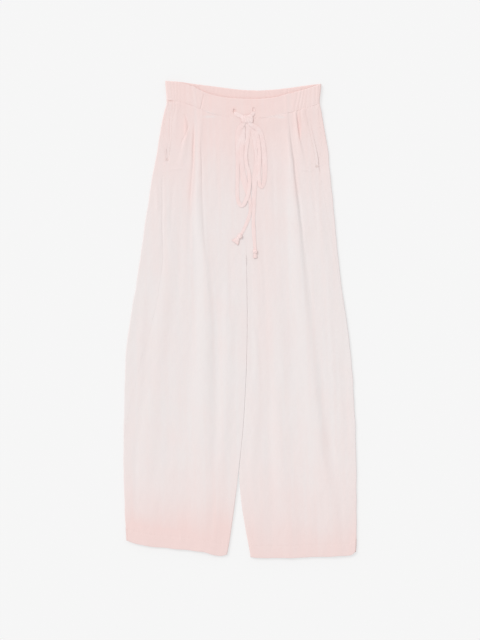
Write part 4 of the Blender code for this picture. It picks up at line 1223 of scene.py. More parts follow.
def tape_rings(centre, roll, width, thick):
    """The tie's rings: at each centre, side * S + up * N, where S and N are turned by the roll."""
    along = unit(np.gradient(centre, axis=0))
    level = unit(np.cross(along, (0.0, 0.0, 1.0)))
    above = np.cross(level, along)
    roll = roll[:, None]
    sideways = level * np.cos(roll) + above * np.sin(roll)
    upwards = above * np.cos(roll) - level * np.sin(roll)
    side, up = tape_section(width[:, None], thick[:, None])
    return centre[:, None] + side[..., None] * sideways[:, None] + up[..., None] * upwards[:, None]


def tape_place(aside, along):
    """Where points lie on the flat tape, across it and along it."""
    return np.stack([aside, along + 0 * aside, 0 * aside], axis=-1).reshape(-1, 3)


def tie_piece(side, route, nodes, exit_place):
    """One end of the drawstring, from its buttonhole through the bow to its knotted end."""
    tie = bpy.context.scene.trouser_tie
    centre, roll, width = tie_centre(route)
    gone = distances(centre)
    part, size, seed = TIE_UNEVEN
    uneven = 1 + part * ripple(gone, size, seed)
    width = width * uneven
    thick = tie.thick / MM * (2 - uneven)
    rings = tape_rings(centre, roll, width, thick)
    flat_side, _ = tape_section(width[:, None], thick[:, None])
    values = {"tape": tape_place(flat_side, gone[:, None]), "dye": tie_dye(rings).ravel()}
    piece = tube_piece("drawstring_" + side, rings, TAPE_MATERIAL, values)
    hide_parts(*nodes)
    mouth = place((exit_place[0], -exit_place[1], BAND_TOP))
    place(centre).tolist()
    return piece


def tie_dye(grid):
    """The tie took the dye unevenly, deeper in patches a few centimetres long."""
    part, *sizes_seed = TIE_DYE
    return 1.0 + part * waves(grid[..., 0], grid[..., 1], *sizes_seed)


def tie_end(name, start, way, sections):
    """A small knot at the end of the tie and the flared end beyond it, which stands open: sections
    from the table, three flutes across the flare, and rings that turn back inside its mouth."""
    x, d = start
    reach = sections[-1][0]
    along = np.linspace(0, reach, END_RINGS)
    width, thick = (look_up(sections, END_COLUMNS, label, along) for label in ("width", "thick"))
    beyond, narrower, thinner = np.array(MOUTH).T
    along = np.concatenate([along, reach + beyond])
    width = np.concatenate([width, width[-1] * narrower])
    thick = np.concatenate([thick, thick[-1] * thinner])
    turn = turns(ROUND_POINTS)
    across_power, up_power = END_SECTION
    side, up = signed_power(np.cos(turn), across_power), signed_power(np.sin(turn), up_power)
    flare = soft_step(reach * END_FLARE, reach, along)[:, None]
    sideways = side * width[:, None] / 2
    high, times, twist = END_RIPPLE
    wrap = 1 + high * np.cos(times * turn + twist * along[:, None]) * (1 - flare)
    middle = look_up(sections, END_COLUMNS, "thick", np.minimum(along, reach))[:, None] / 2
    high, half_waves = END_FLUTES
    flutes = high * flare * (1 + np.sin(half_waves * math.pi * side))
    lifted = middle + up * thick[:, None] / 2 * wrap + flutes
    across = x + way[0] * along[:, None] - way[1] * sideways * wrap
    down = d + way[1] * along[:, None] + way[0] * sideways * wrap
    low = cloth_top(across[:END_RINGS], down[:END_RINGS]).max() + TIE_CLEAR
    rings = np.stack([across, -down, low + lifted], axis=-1)
    # The flare is deeper in colour: dye, and painted shade
    dye = tie_dye(rings).ravel() + END_DYE_AND_SHADE * flare.repeat(ROUND_POINTS)
    values = {"tape": tape_place(sideways, along[:, None]), "dye": dye}
    piece = tube_piece(name.replace("tie", "drawstring"), rings, TAPE_MATERIAL, values)
    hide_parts(name)
    return piece


def knot_lobe(across, down, low, half):
    """A bulge of the knot: rings whose size is (1 - |s|^3)^(1/3) along s, creased towards the wrap
    by a ripple round it."""
    share = np.sin(np.linspace(-LOBE_END, LOBE_END, LOBE_RINGS) * math.pi)[:, None]
    turn = turns(ROUND_POINTS)
    full = np.maximum(1 - np.abs(share) ** 3, LOBE_LEAST) ** (1 / 3)
    high, times, twist = LOBE_RIPPLE
    full = full * (1 + high * np.cos(times * turn + twist * share))
    y = signed_power(np.cos(turn), LOBE_SECTION) * full * half[1]
    z = signed_power(np.sin(turn), LOBE_SECTION) * full * half[2]
    x = across + share * half[0] + LOBE_LEAN * y
    return np.stack([x, -down - y, low + half[2] * LOBE_RAISED + z], axis=-1)


def knot_wrap(across, down, low, half, width, thick):
    """The turn of tie round the knot's middle: a flat section carried round an ellipse, slanted."""
    turn = np.linspace(0, 2 * math.pi, WRAP_POINTS[0], endpoint=False)[:, None]
    section_turn = turns(WRAP_POINTS[1])
    across_power, up_power = WRAP_SECTION
    side = signed_power(np.cos(section_turn), across_power) * width / 2
    high, twist = WRAP_BULGE
    out = signed_power(np.sin(section_turn), up_power) * thick / 2 + high * np.cos(side * twist)
    way = unit(np.stack([np.cos(turn) / half[0], np.sin(turn) / half[1]], axis=-1))[:, 0]
    y = half[0] * np.cos(turn) + out * way[:, :1]
    z = half[1] * np.sin(turn) + out * way[:, 1:]
    x = across + side * (1 - WRAP_WAIST * np.cos(turn) ** 2) + WRAP_SLANT * np.cos(turn)
    return np.stack([x, -down - y, low + z], axis=-1)


def tie_knot():
    """The bow's knot: two creased bulges held by one slanted turn of the tie."""
    x, d = KNOT_MIDDLE
    touched = d + np.array([-KNOT_REACH, 0.0, KNOT_REACH])
    low = cloth_top(np.full(3, x), touched).max() + TIE_CLEAR
    lift, half, width, thick = KNOT_WRAP
    wrap = knot_wrap(x, d, low + lift, half, width, thick)
    points, quads, caps, start = [], [], [], 0
    for across, down, lobe_half in KNOT_LOBES:
        rings = knot_lobe(x + across, d + down, low, lobe_half)
        some, ends = swept(rings)
        quads.append(some + start)
        caps += [cap + start for cap in ends]
        points.append(rings.reshape(-1, 3))
        start += rings.shape[0] * rings.shape[1]
    rows, size = wrap.shape[:2]
    closed = grid_quads(rows + 1, size, around=True) % (rows * size) + start
    points = np.concatenate(points + [wrap.reshape(-1, 3)])
    if faces_inwards(points, closed):
        closed = closed[:, ::-1]
    values = {"tape": tape_place(points[:, 1], points[:, 0]), "dye": tie_dye(points) + KNOT_DYE}
    quads = np.concatenate(quads + [closed])
    name = "drawstring_knot"
    piece = new_piece(name, points, quads, TAPE_MATERIAL, values, caps, sharp=70)
    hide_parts("tie_knot")
    return piece


# The waistband


def band_section():
    """A section round the waistband: share of its height and side of its thickness (1 is the outer
    face), as two faces joined by a half circle at the top and a crisp turn at the lower seam."""
    on_face, on_turn = BAND_POINTS
    face = np.linspace(BAND_UPPER_TURN, BAND_FACE_END, on_face)
    angle = np.linspace(0, math.pi, on_turn)[1:-1]
    lower = BAND_FACE_END + BAND_LOWER_TURN * np.sin(angle)
    upper = BAND_UPPER_TURN - BAND_UPPER_TURN * np.sin(angle)
    out = [0 * face + 1, np.cos(angle), 0 * face - 1, -np.cos(angle)]
    return np.concatenate([face, lower, face[::-1], upper]), np.concatenate(out)


def band_edge(side, share):
    """The side edge of the waistband, which leans a little from its top to its lower seam."""
    return outer_line(side, SIDE_BAND_DOWN + (SIDE_SEAM_DOWN - SIDE_BAND_DOWN) * share)


def held(share):
    """How freely the gathers stand between the band's upper edge and its lower stitching."""
    low, high = (much * bump(share - middle, reach) for much, middle, reach in HELD)
    return 1 - low - high


def between_ends(run, ends):
    """1 along a piece of the band, falling to 0 at its two ends."""
    return soft_step(0, ends[0], run) * soft_step(1, 1 - ends[1], run)


def lower_lip(across):
    """Where the band's lower edge rolls outwards, 1 at the middle of each stretch."""
    return sum(bump(across - middle, half) for middle, half in LIP_STRETCHES)


def band_face(across, share):
    """How far the band's outer face stands out of its plain form: gathers at the sides, the rolled
    lower lip, the side seam's thick end and the slanted crease at the left, the dent along the
    stitching, buttonholes and their corded rims."""
    down = band_line("front", across) + BAND_HEIGHT * share
    side = np.where(across < 0, -1, 1)
    edge_line = np.where(across < 0, band_edge(-1, share), band_edge(1, share))
    run = np.abs(edge_line) - np.abs(across) - BAND_MIDDLE
    span = np.abs(edge_line) - FLAT_FRONT - BAND_MIDDLE
    gather = bpy.context.scene.trouser_band.gather / MM
    depth = np.where(side < 0, SIDE_GATHERS[-1], SIDE_GATHERS[1]) * gather
    swell = depth * gather_wave(run, share, GATHER_PITCH, side) * held(share)
    late, early = (span + away for away in GATHERS_END)
    swell = swell * soft_step(0, GATHERS_RISE, run) * soft_step(late, early, run)
    high, *sizes_seed = FLAT_UNEVEN
    late, early = (FLAT_FRONT + away for away in FLAT_ENDS)
    flat = high * waves(across, down, *sizes_seed) * soft_step(late, early, np.abs(across))
    rolled, middle, reach = LIP
    lip = rolled * lower_lip(across) * bump(share - middle, reach)
    (end_across, end_reach), (end_down, end_high) = SEAM_END, SEAM_END_DOWN
    end = bump(across - end_across, end_reach)
    lip = lip + SEAM_END_HEIGHT * end * bump(share - end_down, end_high)
    dent, reach = STITCH_DENT
    stitched = -dent * bump(share - BAND_STITCH, reach)
    depth, place_out, lean, half = SLANT
    slant = -depth * bump(across + place_out + lean * share, half) * soft_step(*SLANT_RISE, share)
    slant = slant * (np.abs(across) > FLAT_FRONT)
    holes = 0.0
    for x, d, sunk in BUTTONHOLES:
        beyond = np.maximum(np.abs(down - d) - BUTTONHOLE_HALF, 0)
        away = np.hypot(across - x, beyond)
        high, half = BUTTONHOLE_CORD
        cord = high * bump(away - BUTTONHOLE_RIM, half)
        holes = holes + cord - sunk * (1 - soft_step(*SLOT_EDGE, away))
    return swell + flat + lip + stitched + slant + holes


def band_piece(name, rings, deeper=0.0):
    """A closed tube of cloth in place of the solid of that name."""
    values = {"dye": (dye_and_painted_light(rings) + deeper).ravel()}
    piece = tube_piece(name + "_cloth", rings, CLOTH_MATERIAL, values)
    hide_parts(name)
    return piece


def side_band(side):
    """The gathered band from the side fold to the flat front. It turns round the side fold."""
    share, out = band_section()
    fold = np.linspace(FOLD_FROM, 1, FOLD_RINGS + 1)[:-1]
    angle = np.concatenate([fold, np.ones(SIDE_RINGS)])[:, None] * math.pi / 2
    run = np.concatenate([0 * fold, np.linspace(0, 1, SIDE_RINGS)])[:, None]
    edge_line = np.abs(band_edge(side, share))
    thick = out * BAND_THICK / 2
    inwards = BAND_MIDDLE - (BAND_FOLD + thick) * np.cos(angle)
    inwards = inwards + run * (edge_line - FLAT_FRONT - SEAM_GAP - BAND_MIDDLE)
    across = side * (edge_line - inwards)
    relief = band_face(across, share + 0 * across) * np.sin(angle)
    relief = relief * (1 + INNER_RELIEF + (1 - INNER_RELIEF) * out) / 2
    height = BAND_MIDDLE + (BAND_FOLD + thick) * np.sin(angle) + relief
    along = edge_line - np.abs(across) - BAND_MIDDLE
    scallop = SCALLOPS["side"] * (gather_wave(along, share, GATHER_PITCH, side) - 0.5) * (1 - share)
    scallop = scallop * between_ends(run, SIDE_ENDS)
    front = band_line("front", across) + BAND_HEIGHT * share - scallop
    return band_piece("waistband_" + side_name(side), np.stack([across, -front, height], axis=-1))


def front_band():
    """The ungathered middle of the waistband, with two corded buttonholes for the tie."""
    share, out = band_section()
    reach, count = BUTTONHOLE_RINGS
    fine = [np.linspace(x - reach, x + reach, count) for x, _, _ in BUTTONHOLES]
    across = np.concatenate([np.linspace(-FLAT_FRONT, FLAT_FRONT, FLAT_RINGS)] + fine)
    across = np.unique(across)
    across = across[np.concatenate([[True], np.diff(across) > LEAST_APART])][:, None]
    across = across * np.ones(len(share))
    share = share + 0 * across
    relief = band_face(across, share) * (0.5 + 0.5 * out)
    height = BAND_MIDDLE + BAND_FOLD + out * BAND_THICK / 2 + relief
    front = band_line("front", across) + BAND_HEIGHT * share
    return band_piece("waistband_front", np.stack([across, -front, height], axis=-1))


def back_band():
    """The gathered back of the waistband. It lies flat on the floor, and its inner face, which
    shows above the front of the band, rises and falls with the gathers."""
    share, out = band_section()
    ends = [float(band_edge(side, 0.5)) for side in (-1, 1)]
    length = ends[1] - ends[0]
    fold = 1 - np.linspace(1 - FOLD_FROM, 0, FOLD_RINGS + 1)[:-1]
    angle = np.concatenate([fold, np.ones(BACK_RINGS), fold[::-1]])[:, None] * math.pi / 2
    run = np.concatenate([0 * fold, np.linspace(0, 1, BACK_RINGS), 0 * fold + 1])[:, None]
    side = np.where(run < 0.5, -1, 1)
    thick = out * BAND_THICK / 2
    reach = BAND_MIDDLE - (BAND_FOLD + thick) * np.cos(angle)
    left = band_edge(-1, share) + BAND_MIDDLE
    right = band_edge(1, share) - BAND_MIDDLE
    across = left + (right - left) * run + side * (BAND_MIDDLE - reach)
    gathers = gather_wave(run * length, share, BACK_PITCH, 3)
    sunk = BACK_GATHER * gathers * between_ends(run, BACK_ENDS)
    height = BAND_MIDDLE - (BAND_FOLD + thick) * np.sin(angle) - sunk * (0.5 - 0.5 * out)
    scallop = SCALLOPS["back"] * (gathers - 0.5) * (1 - share) * between_ends(run, BACK_ENDS)
    back = band_line("back", across) + BAND_HEIGHT * share - scallop
    rings = np.stack([across, -back, height], axis=-1)
    return band_piece("waistband_back", rings, BACK_DEEPER)


# The panels


def front_panel(leg):
    """From the pocket's edge over the top of the leg to the inner leg seam. Its columns follow the
    pleats."""
    start = seam_runs(leg, "pocket", ROWS) + SEAM_GAP / 2 + TUCK
    _, _, reach, length = row_ends(leg, ROWS, "front")
    outer_foot, outer_crest, _ = pleat_runs(leg, OUTER_PLEATS[leg], ROWS)
    inner_foot, inner_crest, inner_back = pleat_runs(leg, INNER_PLEATS[leg], ROWS)
    rounded = np.full_like(start, EDGE_ARC)
    guides = [start, rounded, outer_foot - FOOT_REACH, outer_foot, outer_crest]
    guides += [inner_foot - FOOT_REACH, inner_foot, inner_crest, inner_back]
    guides = in_order(guides) + [length - reach * math.pi / 2, length - SEAM_GAP / 2 - TUCK]
    runs = between(guides, FRONT_COLUMNS)
    grid = tuck(over_the_top(leg, ROWS, runs), -leg)
    return sheet_piece("front_" + side_name(leg), turned_hem(grid, ROWS[:, 0], -leg), -leg, leg)


def back_panel(leg):
    """From the side seam over the edge, along the floor, and up to the inner leg seam."""
    seam = seam_runs(leg, "seam", ROWS) - SEAM_GAP / 2 - TUCK
    on_arc = np.minimum(seam, EDGE_ARC)
    top = between([seam, on_arc * JUST_SHORT, 0 * seam], OVER_COLUMNS)[:, :-1]
    _, _, reach, length = row_ends(leg, ROWS, "back")
    none = np.zeros_like(seam)
    guides = [none, none + EDGE_ARC, length - reach * math.pi / 2, length - SEAM_GAP / 2 - TUCK]
    bottom = between(guides, UNDER_COLUMNS)
    over, under = over_the_top(leg, ROWS, top, wrap=True), underneath(leg, ROWS, bottom)
    grid = tuck(np.concatenate([over, under], axis=1), leg)
    return sheet_piece("back_" + side_name(leg), turned_hem(grid, ROWS[:, 0], leg), leg, leg)


def pocket_facing(leg):
    """The strip between the side seam and the pocket's slanted edge, tucked under that edge."""
    rows = ROWS[ROWS[:, 0] <= POCKET_END + 1e-9]
    seam = seam_runs(leg, "seam", rows) + SEAM_GAP / 2 + TUCK
    opening = seam_runs(leg, "pocket", rows) + POCKET_TUCK
    runs = between([seam, opening], POCKET_COLUMNS)
    grid = tuck(over_the_top(leg, rows, runs, wrap=True), -leg, rims=(0,))
    return sheet_piece("pocket_" + side_name(leg), grid, -leg, leg)


# Stitching


def surface_line(leg, rows, runs, above):
    """Points and normals of a line on the front of a leg, raised above the cloth. The normal is
    the cross product of small steps along the leg and round it."""
    here = over_the_top(leg, rows, runs)
    small_row, small_run = NORMAL_STEPS
    down_step = over_the_top(leg, rows + small_row, runs) - here
    round_step = over_the_top(leg, rows, runs + small_run) - here
    normals = unit(np.cross(down_step, round_step)) * -leg
    return (here + normals * above)[:, 0], normals[:, 0]


def hem_line(leg):
    """The hem's stitching, from the side seam to the inner leg seam."""
    length = row_ends(leg, np.array([[HEM_STITCH]]), "front")[3].item()
    count, above = STITCHING["hem"]
    after, before = HEM_STITCH_ENDS
    runs = np.linspace(after, length - before, count)[:, None]
    return surface_line(leg, np.full_like(runs, HEM_STITCH), runs, above)


def pocket_line(leg):
    """The topstitching along the slanted pocket edge."""
    count, above = STITCHING["pocket"]
    after, before = POCKET_STITCH_ENDS
    rows = np.linspace(after, POCKET_END - before, count)[:, None]
    runs = seam_runs(leg, "pocket", rows) + POCKET_STITCH
    return surface_line(leg, rows, runs, above)


def bar_tack(leg):
    """Short close rows of thread across the lower end of a pocket."""
    count, above = STITCHING["tack"]
    lines = []
    for k in range(BAR_TACK_ROWS):
        rows = np.full((count, 1), POCKET_END - BAR_TACK_FROM - BAR_TACK_APART * k)
        runs = seam_runs(leg, "pocket", rows) + np.linspace(*BAR_TACK_REACH, count)[:, None]
        lines.append(surface_line(leg, rows, runs, above))
    return lines


def band_stitches(across, down, share, above):
    """Points and normals of a line on the band's outer face, raised above the cloth."""
    height = BAND_TOP + band_face(across, share) + above
    return np.stack([across, -down, height], axis=-1), np.tile((0.0, 0.0, 1.0), (len(across), 1))


def band_lines():
    """Stitching along the lower edge of the waistband's front."""
    count, above = STITCHING["band"]
    inside, outside = FLAT_FRONT - BAND_STITCH_GAP, FLAT_FRONT + BAND_STITCH_GAP
    left, right = BAND_STITCH_ENDS
    lines = []
    for first, last in ((left, -outside), (-inside, inside), (outside, right)):
        across = np.linspace(first, last, count)
        share = np.full_like(across, BAND_STITCH)
        down = band_line("front", across) + BAND_HEIGHT * share
        lines.append(band_stitches(across, down, share, above))
    return lines


def buttonhole_lines():
    """The stitched rims of the two buttonholes, each round a slot with rounded ends."""
    count, above = STITCHING["buttonhole"]
    turn = np.linspace(0, 2 * math.pi, count)
    lines = []
    for x, d, _ in BUTTONHOLES:
        across = x + BUTTONHOLE_RIM * np.cos(turn)
        straight = BUTTONHOLE_HALF * np.clip(np.sin(turn) * 3, -1, 1)
        down = d + BUTTONHOLE_RIM * np.sin(turn) + straight
        share = (down - band_line("front", across)) / BAND_HEIGHT
        lines.append(band_stitches(across, down, share, above))
    return lines


# Materials


def add_node(tree, kind, settings, inputs):
    """Adds a node to a material or world: its own settings, then its inputs by name or number,
    each a value or another node's output."""
    node = tree.nodes.new(kind)
    for label, value in settings.items():
        setattr(node, label, value)
    for label, value in inputs.items():
        if isinstance(value, bpy.types.NodeSocket):
            tree.links.new(value, node.inputs[label])
        else:
            node.inputs[label].default_value = value
    return node


def new_material(name):
    """The empty node tree of a new material, or of the one of that name."""
    material = bpy.data.materials.get(name) or bpy.data.materials.new(name)
    material.use_nodes = True
    material.node_tree.nodes.clear()
    return material.node_tree


def colour_between(tree, share, low, high):
    """Mixes two colours by a share from 0 to 1."""
    kind = {"data_type": "RGBA", "clamp_factor": True}
    return add_node(tree, "ShaderNodeMix", kind, {0: share, 6: low, 7: high}).outputs[2]


def multiply_add(tree, value, factor, addend):
    """value * factor + addend, as a node."""
    numbers = {0: value, 1: factor, 2: addend}
    return add_node(tree, "ShaderNodeMath", {"operation": "MULTIPLY_ADD"}, numbers).outputs[0]


def finish_material(tree, colour, height, distance, **constants):
    """A Principled BSDF with a bump of the given depth, and constants on its own sockets."""
    bump_node = add_node(
        tree, "ShaderNodeBump", {}, {"Height": height, "Distance": distance, "Strength": 1.0}
    )
    inputs = {"Base Color": colour, "Normal": bump_node.outputs[0]}
    for label, value in constants.items():
        inputs[label.replace("_", " ")] = value
    shader = add_node(tree, "ShaderNodeBsdfPrincipled", {}, inputs)
    add_node(tree, "ShaderNodeOutputMaterial", {}, {"Surface": shader.outputs[0]})


def opaque(colour):
    """A colour with its alpha."""
    return (*colour, 1.0)


def cotton_twill():
    """Washed cotton twill, dyed after sewing: matt, with a fine diagonal rib, a crinkle from
    washing, and dye that is deepest at the waist and hems, with painted shade in the creases and
    painted highlights."""
    colours = bpy.context.scene.trouser_colours
    tree = new_material(CLOTH_MATERIAL)
    place_at = add_node(tree, "ShaderNodeTexCoord", {}, {}).outputs["Object"]
    # The dye attribute holds the dip-dye together with painted shade and painted highlights
    dye = add_node(tree, "ShaderNodeAttribute", {"attribute_name": "dye"}, {}).outputs["Fac"]
    # Mottling of 9 cm and of 7 mm, as dye takes unevenly on a folded garment
    depth = dye
    for scale, detail, strength in ((11.0, 2.0, 0.16), (140.0, 3.0, 0.10)):
        noise = {"Vector": place_at, "Scale": scale, "Detail": detail}
        mottling = add_node(tree, "ShaderNodeTexNoise", {}, noise)
        depth = multiply_add(tree, mottling.outputs[0], strength, depth)
    depth = multiply_add(tree, depth, 1.0, -0.13)
    colour = colour_between(tree, depth, opaque(colours.pale), opaque(colours.deep))
    # The hems are a little duller than the waist, over the last 15 cm
    parts = add_node(tree, "ShaderNodeSeparateXYZ", {}, {"Vector": place_at})
    dulled = multiply_add(tree, parts.outputs[1], -2.6, -0.93)
    colour = colour_between(tree, dulled, colour, opaque(colours.dull))
    # The twill's rib: 0.6 mm on the real cloth, drawn at 1.5 mm so that it shows
    turned = add_node(
        tree, "ShaderNodeMapping", {}, {"Vector": place_at, "Rotation": (0, 0, math.radians(63))}
    ).outputs[0]
    ribs = {"Vector": turned, "Scale": WAVE_LENGTH / 0.0015, "Distortion": 1.2}
    ribs |= {"Detail": 1.0, "Detail Scale": 2.0}
    rib = add_node(tree, "ShaderNodeTexWave", {"wave_profile": "SIN"}, ribs)
    # The crinkle: 4 mm dimples drawn out along the cloth
    drawn = add_node(tree, "ShaderNodeMapping", {}, {"Vector": place_at, "Scale": (1.0, 0.45, 1.0)})
    crinkle = add_node(
        tree, "ShaderNodeTexNoise", {}, {"Vector": drawn.outputs[0], "Scale": 240.0, "Detail": 4.0}
    )
    height = multiply_add(tree, rib.outputs["Fac"], 0.3, crinkle.outputs[0])
    finish_material(
        tree,
        colour,
        height,
        distance=0.00022,
        Roughness=0.92,
        Specular_IOR_Level=0.25,
        Sheen_Weight=0.12,
        Sheen_Roughness=0.5,
    )


def cotton_tape():
    """Flat woven cotton tape, dyed with the trousers: matt, with a chevron weave along it and a
    stitched line near each edge."""
    colours = bpy.context.scene.trouser_colours
    tree = new_material(TAPE_MATERIAL)
    tape = add_node(tree, "ShaderNodeAttribute", {"attribute_name": "tape"}, {}).outputs["Vector"]
    dye = add_node(tree, "ShaderNodeAttribute", {"attribute_name": "dye"}, {}).outputs["Fac"]
    parts = add_node(tree, "ShaderNodeSeparateXYZ", {}, {"Vector": tape})
    aside = {0: parts.outputs[0]}
    side = add_node(tree, "ShaderNodeMath", {"operation": "ABSOLUTE"}, aside).outputs[0]
    # Chevrons 1.4 mm apart along the tape, drawn coarser than the 0.8 mm of the real weave
    slanted = multiply_add(tree, side, 0.9, parts.outputs[1])
    turns = multiply_add(tree, slanted, 2 * math.pi / 1.4, 0.0)
    rib = add_node(tree, "ShaderNodeMath", {"operation": "SINE"}, {0: turns}).outputs[0]
    fuzz = add_node(tree, "ShaderNodeTexNoise", {}, {"Vector": tape, "Scale": 1.1, "Detail": 3.0})
    depth = multiply_add(tree, fuzz.outputs[0], 0.5, dye)
    depth = multiply_add(tree, depth, 0.9, -0.35)
    colour = colour_between(tree, depth, opaque(colours.tie_pale), opaque(colours.tie_deep))
    height = multiply_add(tree, rib, 0.35, fuzz.outputs[0])
    finish_material(
        tree,
        colour,
        height,
        distance=0.00018,
        Roughness=0.9,
        Specular_IOR_Level=0.25,
        Sheen_Weight=0.1,
    )


def sewing_thread():
    """Spun polyester thread: a little glossier than the cotton, and it took less of the dye."""
    colours = bpy.context.scene.trouser_colours
    tree = new_material(THREAD_MATERIAL)
    place_at = add_node(tree, "ShaderNodeTexCoord", {}, {}).outputs["Object"]
    # The thread's twist, 0.7 mm
    noise = {"Vector": place_at, "Scale": 1400.0, "Detail": 1.0}
    twist = add_node(tree, "ShaderNodeTexNoise", {}, noise)
    darker = tuple(0.88 * c for c in colours.thread)
    colour = colour_between(tree, twist.outputs[0], opaque(colours.thread), opaque(darker))
    finish_material(
        tree,
        colour,
        twist.outputs[0],
        distance=0.00006,
        Roughness=0.62,
        Specular_IOR_Level=0.4,
    )


def lit_table():
    """Opal acrylic lit from below, as on a table for shadowless pictures: matt and even, and its
    own light leaves the trousers only a faint shadow."""
    colours = bpy.context.scene.trouser_colours
    tree = new_material(TABLE_MATERIAL)
    place_at = add_node(tree, "ShaderNodeTexCoord", {}, {}).outputs["Object"]
    noise = {"Vector": place_at, "Scale": 700.0, "Detail": 2.0}
    grain = add_node(tree, "ShaderNodeTexNoise", {}, noise)
    darker = tuple(0.99 * c for c in colours.table)
    colour = colour_between(tree, grain.outputs[0], opaque(colours.table), opaque(darker))
    finish_material(
        tree,
        colour,
        grain.outputs[0],
        distance=0.00001,
        Roughness=1.0,
        Specular_IOR_Level=0.0,
        Emission_Color=(1.0, 1.0, 1.0, 1.0),
        Emission_Strength=bpy.context.scene.trouser_stage.table_light,
    )


# Settings that a user would change


def length_setting(name, description, default):
    """A length in metres."""
    return bpy.props.FloatProperty(
        name=name, description=description, default=default, min=0.0, precision=5, unit="LENGTH"
    )


def colour_setting(name, description, code):
    """A colour from its sRGB hex code."""
    return bpy.props.FloatVectorProperty(
        name=name, description=description, default=linear(code), min=0.0, max=1.0, subtype="COLOR"
    )


def strength_setting(name, description, default):
    """How strong a light is."""
    return bpy.props.FloatProperty(name=name, description=description, default=default, min=0.0)


class TrouserCloth(bpy.types.PropertyGroup):
    thickness: length_setting("Cloth thickness", "Thickness of the twill", 0.0008)
    rumple: length_setting("Rumples", "Height of the cloth's broad unevenness", 0.00022)
    stitch_length: length_setting("Stitch length", "Length of one stitch", 0.0026)
    thread: length_setting("Thread", "Thickness of the sewing thread", 0.0005)


class TrouserBand(bpy.types.PropertyGroup):
    gather: length_setting("Gathers", "Height of the gathers on the waistband", 0.0006)


class TrouserTie(bpy.types.PropertyGroup):
    width: length_setting("Tie width", "Width of the drawstring where it lies flat", 0.0095)
    thick: length_setting("Tie thickness", "Thickness of the flat drawstring", 0.0006)


class TrouserColours(bpy.types.PropertyGroup):
    pale: colour_setting("Cloth, pale", "The cloth where it took least dye", "#E8E1E0")
    deep: colour_setting("Cloth, deep", "The cloth where it took most dye", "#EED4D0")
    dull: colour_setting("Cloth, at the hems", "The duller cloth near the hems", "#E6D2CF")
    tie_pale: colour_setting("Tie, pale", "The drawstring where it took least dye", "#F3E3E1")
    tie_deep: colour_setting("Tie, deep", "The drawstring where it took most dye", "#F2DAD7")
    thread: colour_setting("Thread", "The sewing thread", "#EBD6D0")
    table: colour_setting("Table", "The surface that the trousers lie on", "#A8A8A8")


class TrouserStage(bpy.types.PropertyGroup):
    camera_height: length_setting("Camera height", "How far the camera is above the floor", 3.2)
    picture_height: length_setting("Picture height", "What the picture's height takes in", 1.3792)
    surround: strength_setting("Surrounding light", "Strength of the even light", 0.82)
    lamp: strength_setting("Lamp", "Strength of the soft lamp at the upper left", 1.16)
    table_light: strength_setting("Table light", "How brightly the table is lit from below", 0.512)


# Operators


class AddStage(bpy.types.Operator):
    """Lay the floor and put up the lamp and the camera, straight above the trousers"""

    bl_idname = "trousers.add_stage"
    bl_label = "Stage"

    def execute(self, context):
        stage = context.scene.trouser_stage
        lit_table()
        mesh = bpy.data.meshes.new("floor")
        corners = np.array([(-1, -1), (1, -1), (1, 1), (-1, 1)]) * FLOOR_HALF
        points = np.column_stack([corners, np.full(4, FLOOR_HEIGHT)])
        mesh.from_pydata(points.tolist(), [], [(0, 1, 2, 3)])
        mesh.materials.append(bpy.data.materials[TABLE_MATERIAL])
        floor = bpy.data.objects.new("floor", mesh)
        context.scene.collection.objects.link(floor)

        world = bpy.data.worlds.new("studio")
        world.use_nodes = True
        world.node_tree.nodes.clear()
        sky = add_node(
            world.node_tree,
            "ShaderNodeBackground",
            {},
            {"Color": (1.0, 1.0, 1.0, 1.0), "Strength": stage.surround},
        )
        add_node(world.node_tree, "ShaderNodeOutputWorld", {}, {"Surface": sky.outputs[0]})
        context.scene.world = world

        lamp = bpy.data.lights.new("soft_lamp", "SUN")
        lamp.angle = math.radians(LAMP_ANGLE)
        lamp.energy = stage.lamp
        lamp_object = bpy.data.objects.new("soft_lamp", lamp)
        lamp_object.location = LAMP_PLACE
        aim = mathutils.Vector(LAMP_PLACE)
        lamp_object.rotation_euler = aim.to_track_quat("Z", "Y").to_euler()
        context.scene.collection.objects.link(lamp_object)

        camera = bpy.data.cameras.new("camera")
        camera.sensor_fit = "AUTO"
        camera.sensor_width = SENSOR_WIDTH
        camera.lens = SENSOR_WIDTH * stage.camera_height / stage.picture_height
        camera_object = bpy.data.objects.new("camera", camera)
        camera_object.location = (CAMERA_ACROSS, CAMERA_UP, stage.camera_height)
        context.scene.collection.objects.link(camera_object)
        context.scene.camera = camera_object
        context.scene.view_settings.view_transform = "Standard"
        return {"FINISHED"}


class AddDrawstring(bpy.types.Operator):
    """Lay the drawstring's two ends, its bow and knot, and its knotted and flared ends"""

    bl_idname = "trousers.add_drawstring"
    bl_label = "Drawstring"

    def execute(self, context):
        cotton_tape()
        knot = tie_knot()
        ends = [tie_end(name, *TIE_ENDS[name]) for name in ("tie_end_left", "tie_end_right")]
        tie_piece("left", ROUTE_LEFT, LEFT_NODES, BUTTONHOLES[0])
        tie_piece("right", ROUTE_RIGHT, RIGHT_NODES, BUTTONHOLES[1])
        return {"FINISHED"}


class AddFrontPanels(bpy.types.Operator):
    """Lay the two front panels, with their pleats, folds and turned hems"""

    bl_idname = "trousers.add_front_panels"
    bl_label = "Front panels"

    def execute(self, context):
        cotton_twill()
        for leg in (-1, 1):
            front_panel(leg)
        return {"FINISHED"}


class AddBackPanels(bpy.types.Operator):
    """Lay the two back panels on the floor, with the side seams rolled to the front"""

    bl_idname = "trousers.add_back_panels"
    bl_label = "Back panels"

    def execute(self, context):
        for leg in (-1, 1):
            back_panel(leg)
        return {"FINISHED"}


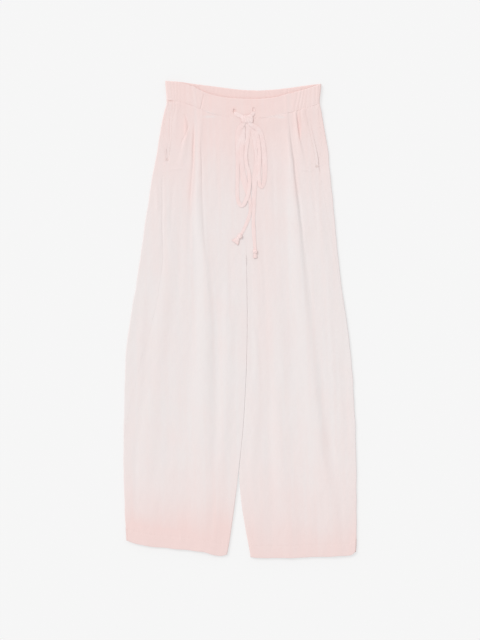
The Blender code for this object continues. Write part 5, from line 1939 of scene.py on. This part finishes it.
class AddPockets(bpy.types.Operator):
    """Set the strips of cloth behind the slanted pocket openings"""

    bl_idname = "trousers.add_pockets"
    bl_label = "Pockets"

    def execute(self, context):
        for leg in (-1, 1):
            pocket_facing(leg)
        return {"FINISHED"}


class AddWaistband(bpy.types.Operator):
    """Set the waistband: its flat front, its gathered sides and its gathered back"""

    bl_idname = "trousers.add_waistband"
    bl_label = "Waistband"

    def execute(self, context):
        front_band()
        for side in (-1, 1):
            side_band(side)
        back_band()
        return {"FINISHED"}


class AddStitching(bpy.types.Operator):
    """Sew the hems, the pockets, the bar tacks, the waistband's seam and the buttonholes"""

    bl_idname = "trousers.add_stitching"
    bl_label = "Stitching"

    def execute(self, context):
        sewing_thread()
        for leg in (-1, 1):
            side = side_name(leg)
            stitch_lines("hem_stitches_" + side, [hem_line(leg)])
            stitch_lines("pocket_stitches_" + side, [pocket_line(leg)] + bar_tack(leg))
        stitch_lines("waistband_stitches", band_lines())
        stitch_lines("buttonhole_stitches", buttonhole_lines())
        return {"FINISHED"}


class TrousersPanel(bpy.types.Panel):
    """Lists the settings and the pieces of the trousers"""

    bl_idname = "VIEW3D_PT_trousers"
    bl_label = "Drawstring trousers"
    bl_space_type = "VIEW_3D"
    bl_region_type = "UI"
    bl_category = "Trousers"

    def draw(self, context):
        for settings in SETTINGS:
            box = self.layout.box()
            group = getattr(context.scene, settings)
            for label in group.__annotations__:
                box.prop(group, label)
        for operator in OPERATORS:
            self.layout.operator(operator.bl_idname)


SETTINGS = {
    "trouser_cloth": TrouserCloth,
    "trouser_band": TrouserBand,
    "trouser_tie": TrouserTie,
    "trouser_colours": TrouserColours,
    "trouser_stage": TrouserStage,
}
OPERATORS = (
    AddStage,
    AddDrawstring,
    AddFrontPanels,
    AddBackPanels,
    AddPockets,
    AddWaistband,
    AddStitching,
)


def register():
    """Makes the settings, the operators and the panel known."""
    for cls in (*SETTINGS.values(), *OPERATORS, TrousersPanel):
        bpy.utils.register_class(cls)
    for label, group in SETTINGS.items():
        setattr(bpy.types.Scene, label, bpy.props.PointerProperty(type=group))


def unregister():
    """Takes them away again."""
    for label in SETTINGS:
        delattr(bpy.types.Scene, label)
    for cls in (TrousersPanel, *OPERATORS[::-1], *list(SETTINGS.values())[::-1]):
        bpy.utils.unregister_class(cls)


def main():
    """Adds every piece and the stage."""
    register()
    for operator in OPERATORS:
        group, call = operator.bl_idname.split(".")
        getattr(getattr(bpy.ops, group), call)()


if __name__ == "__main__":
    main()
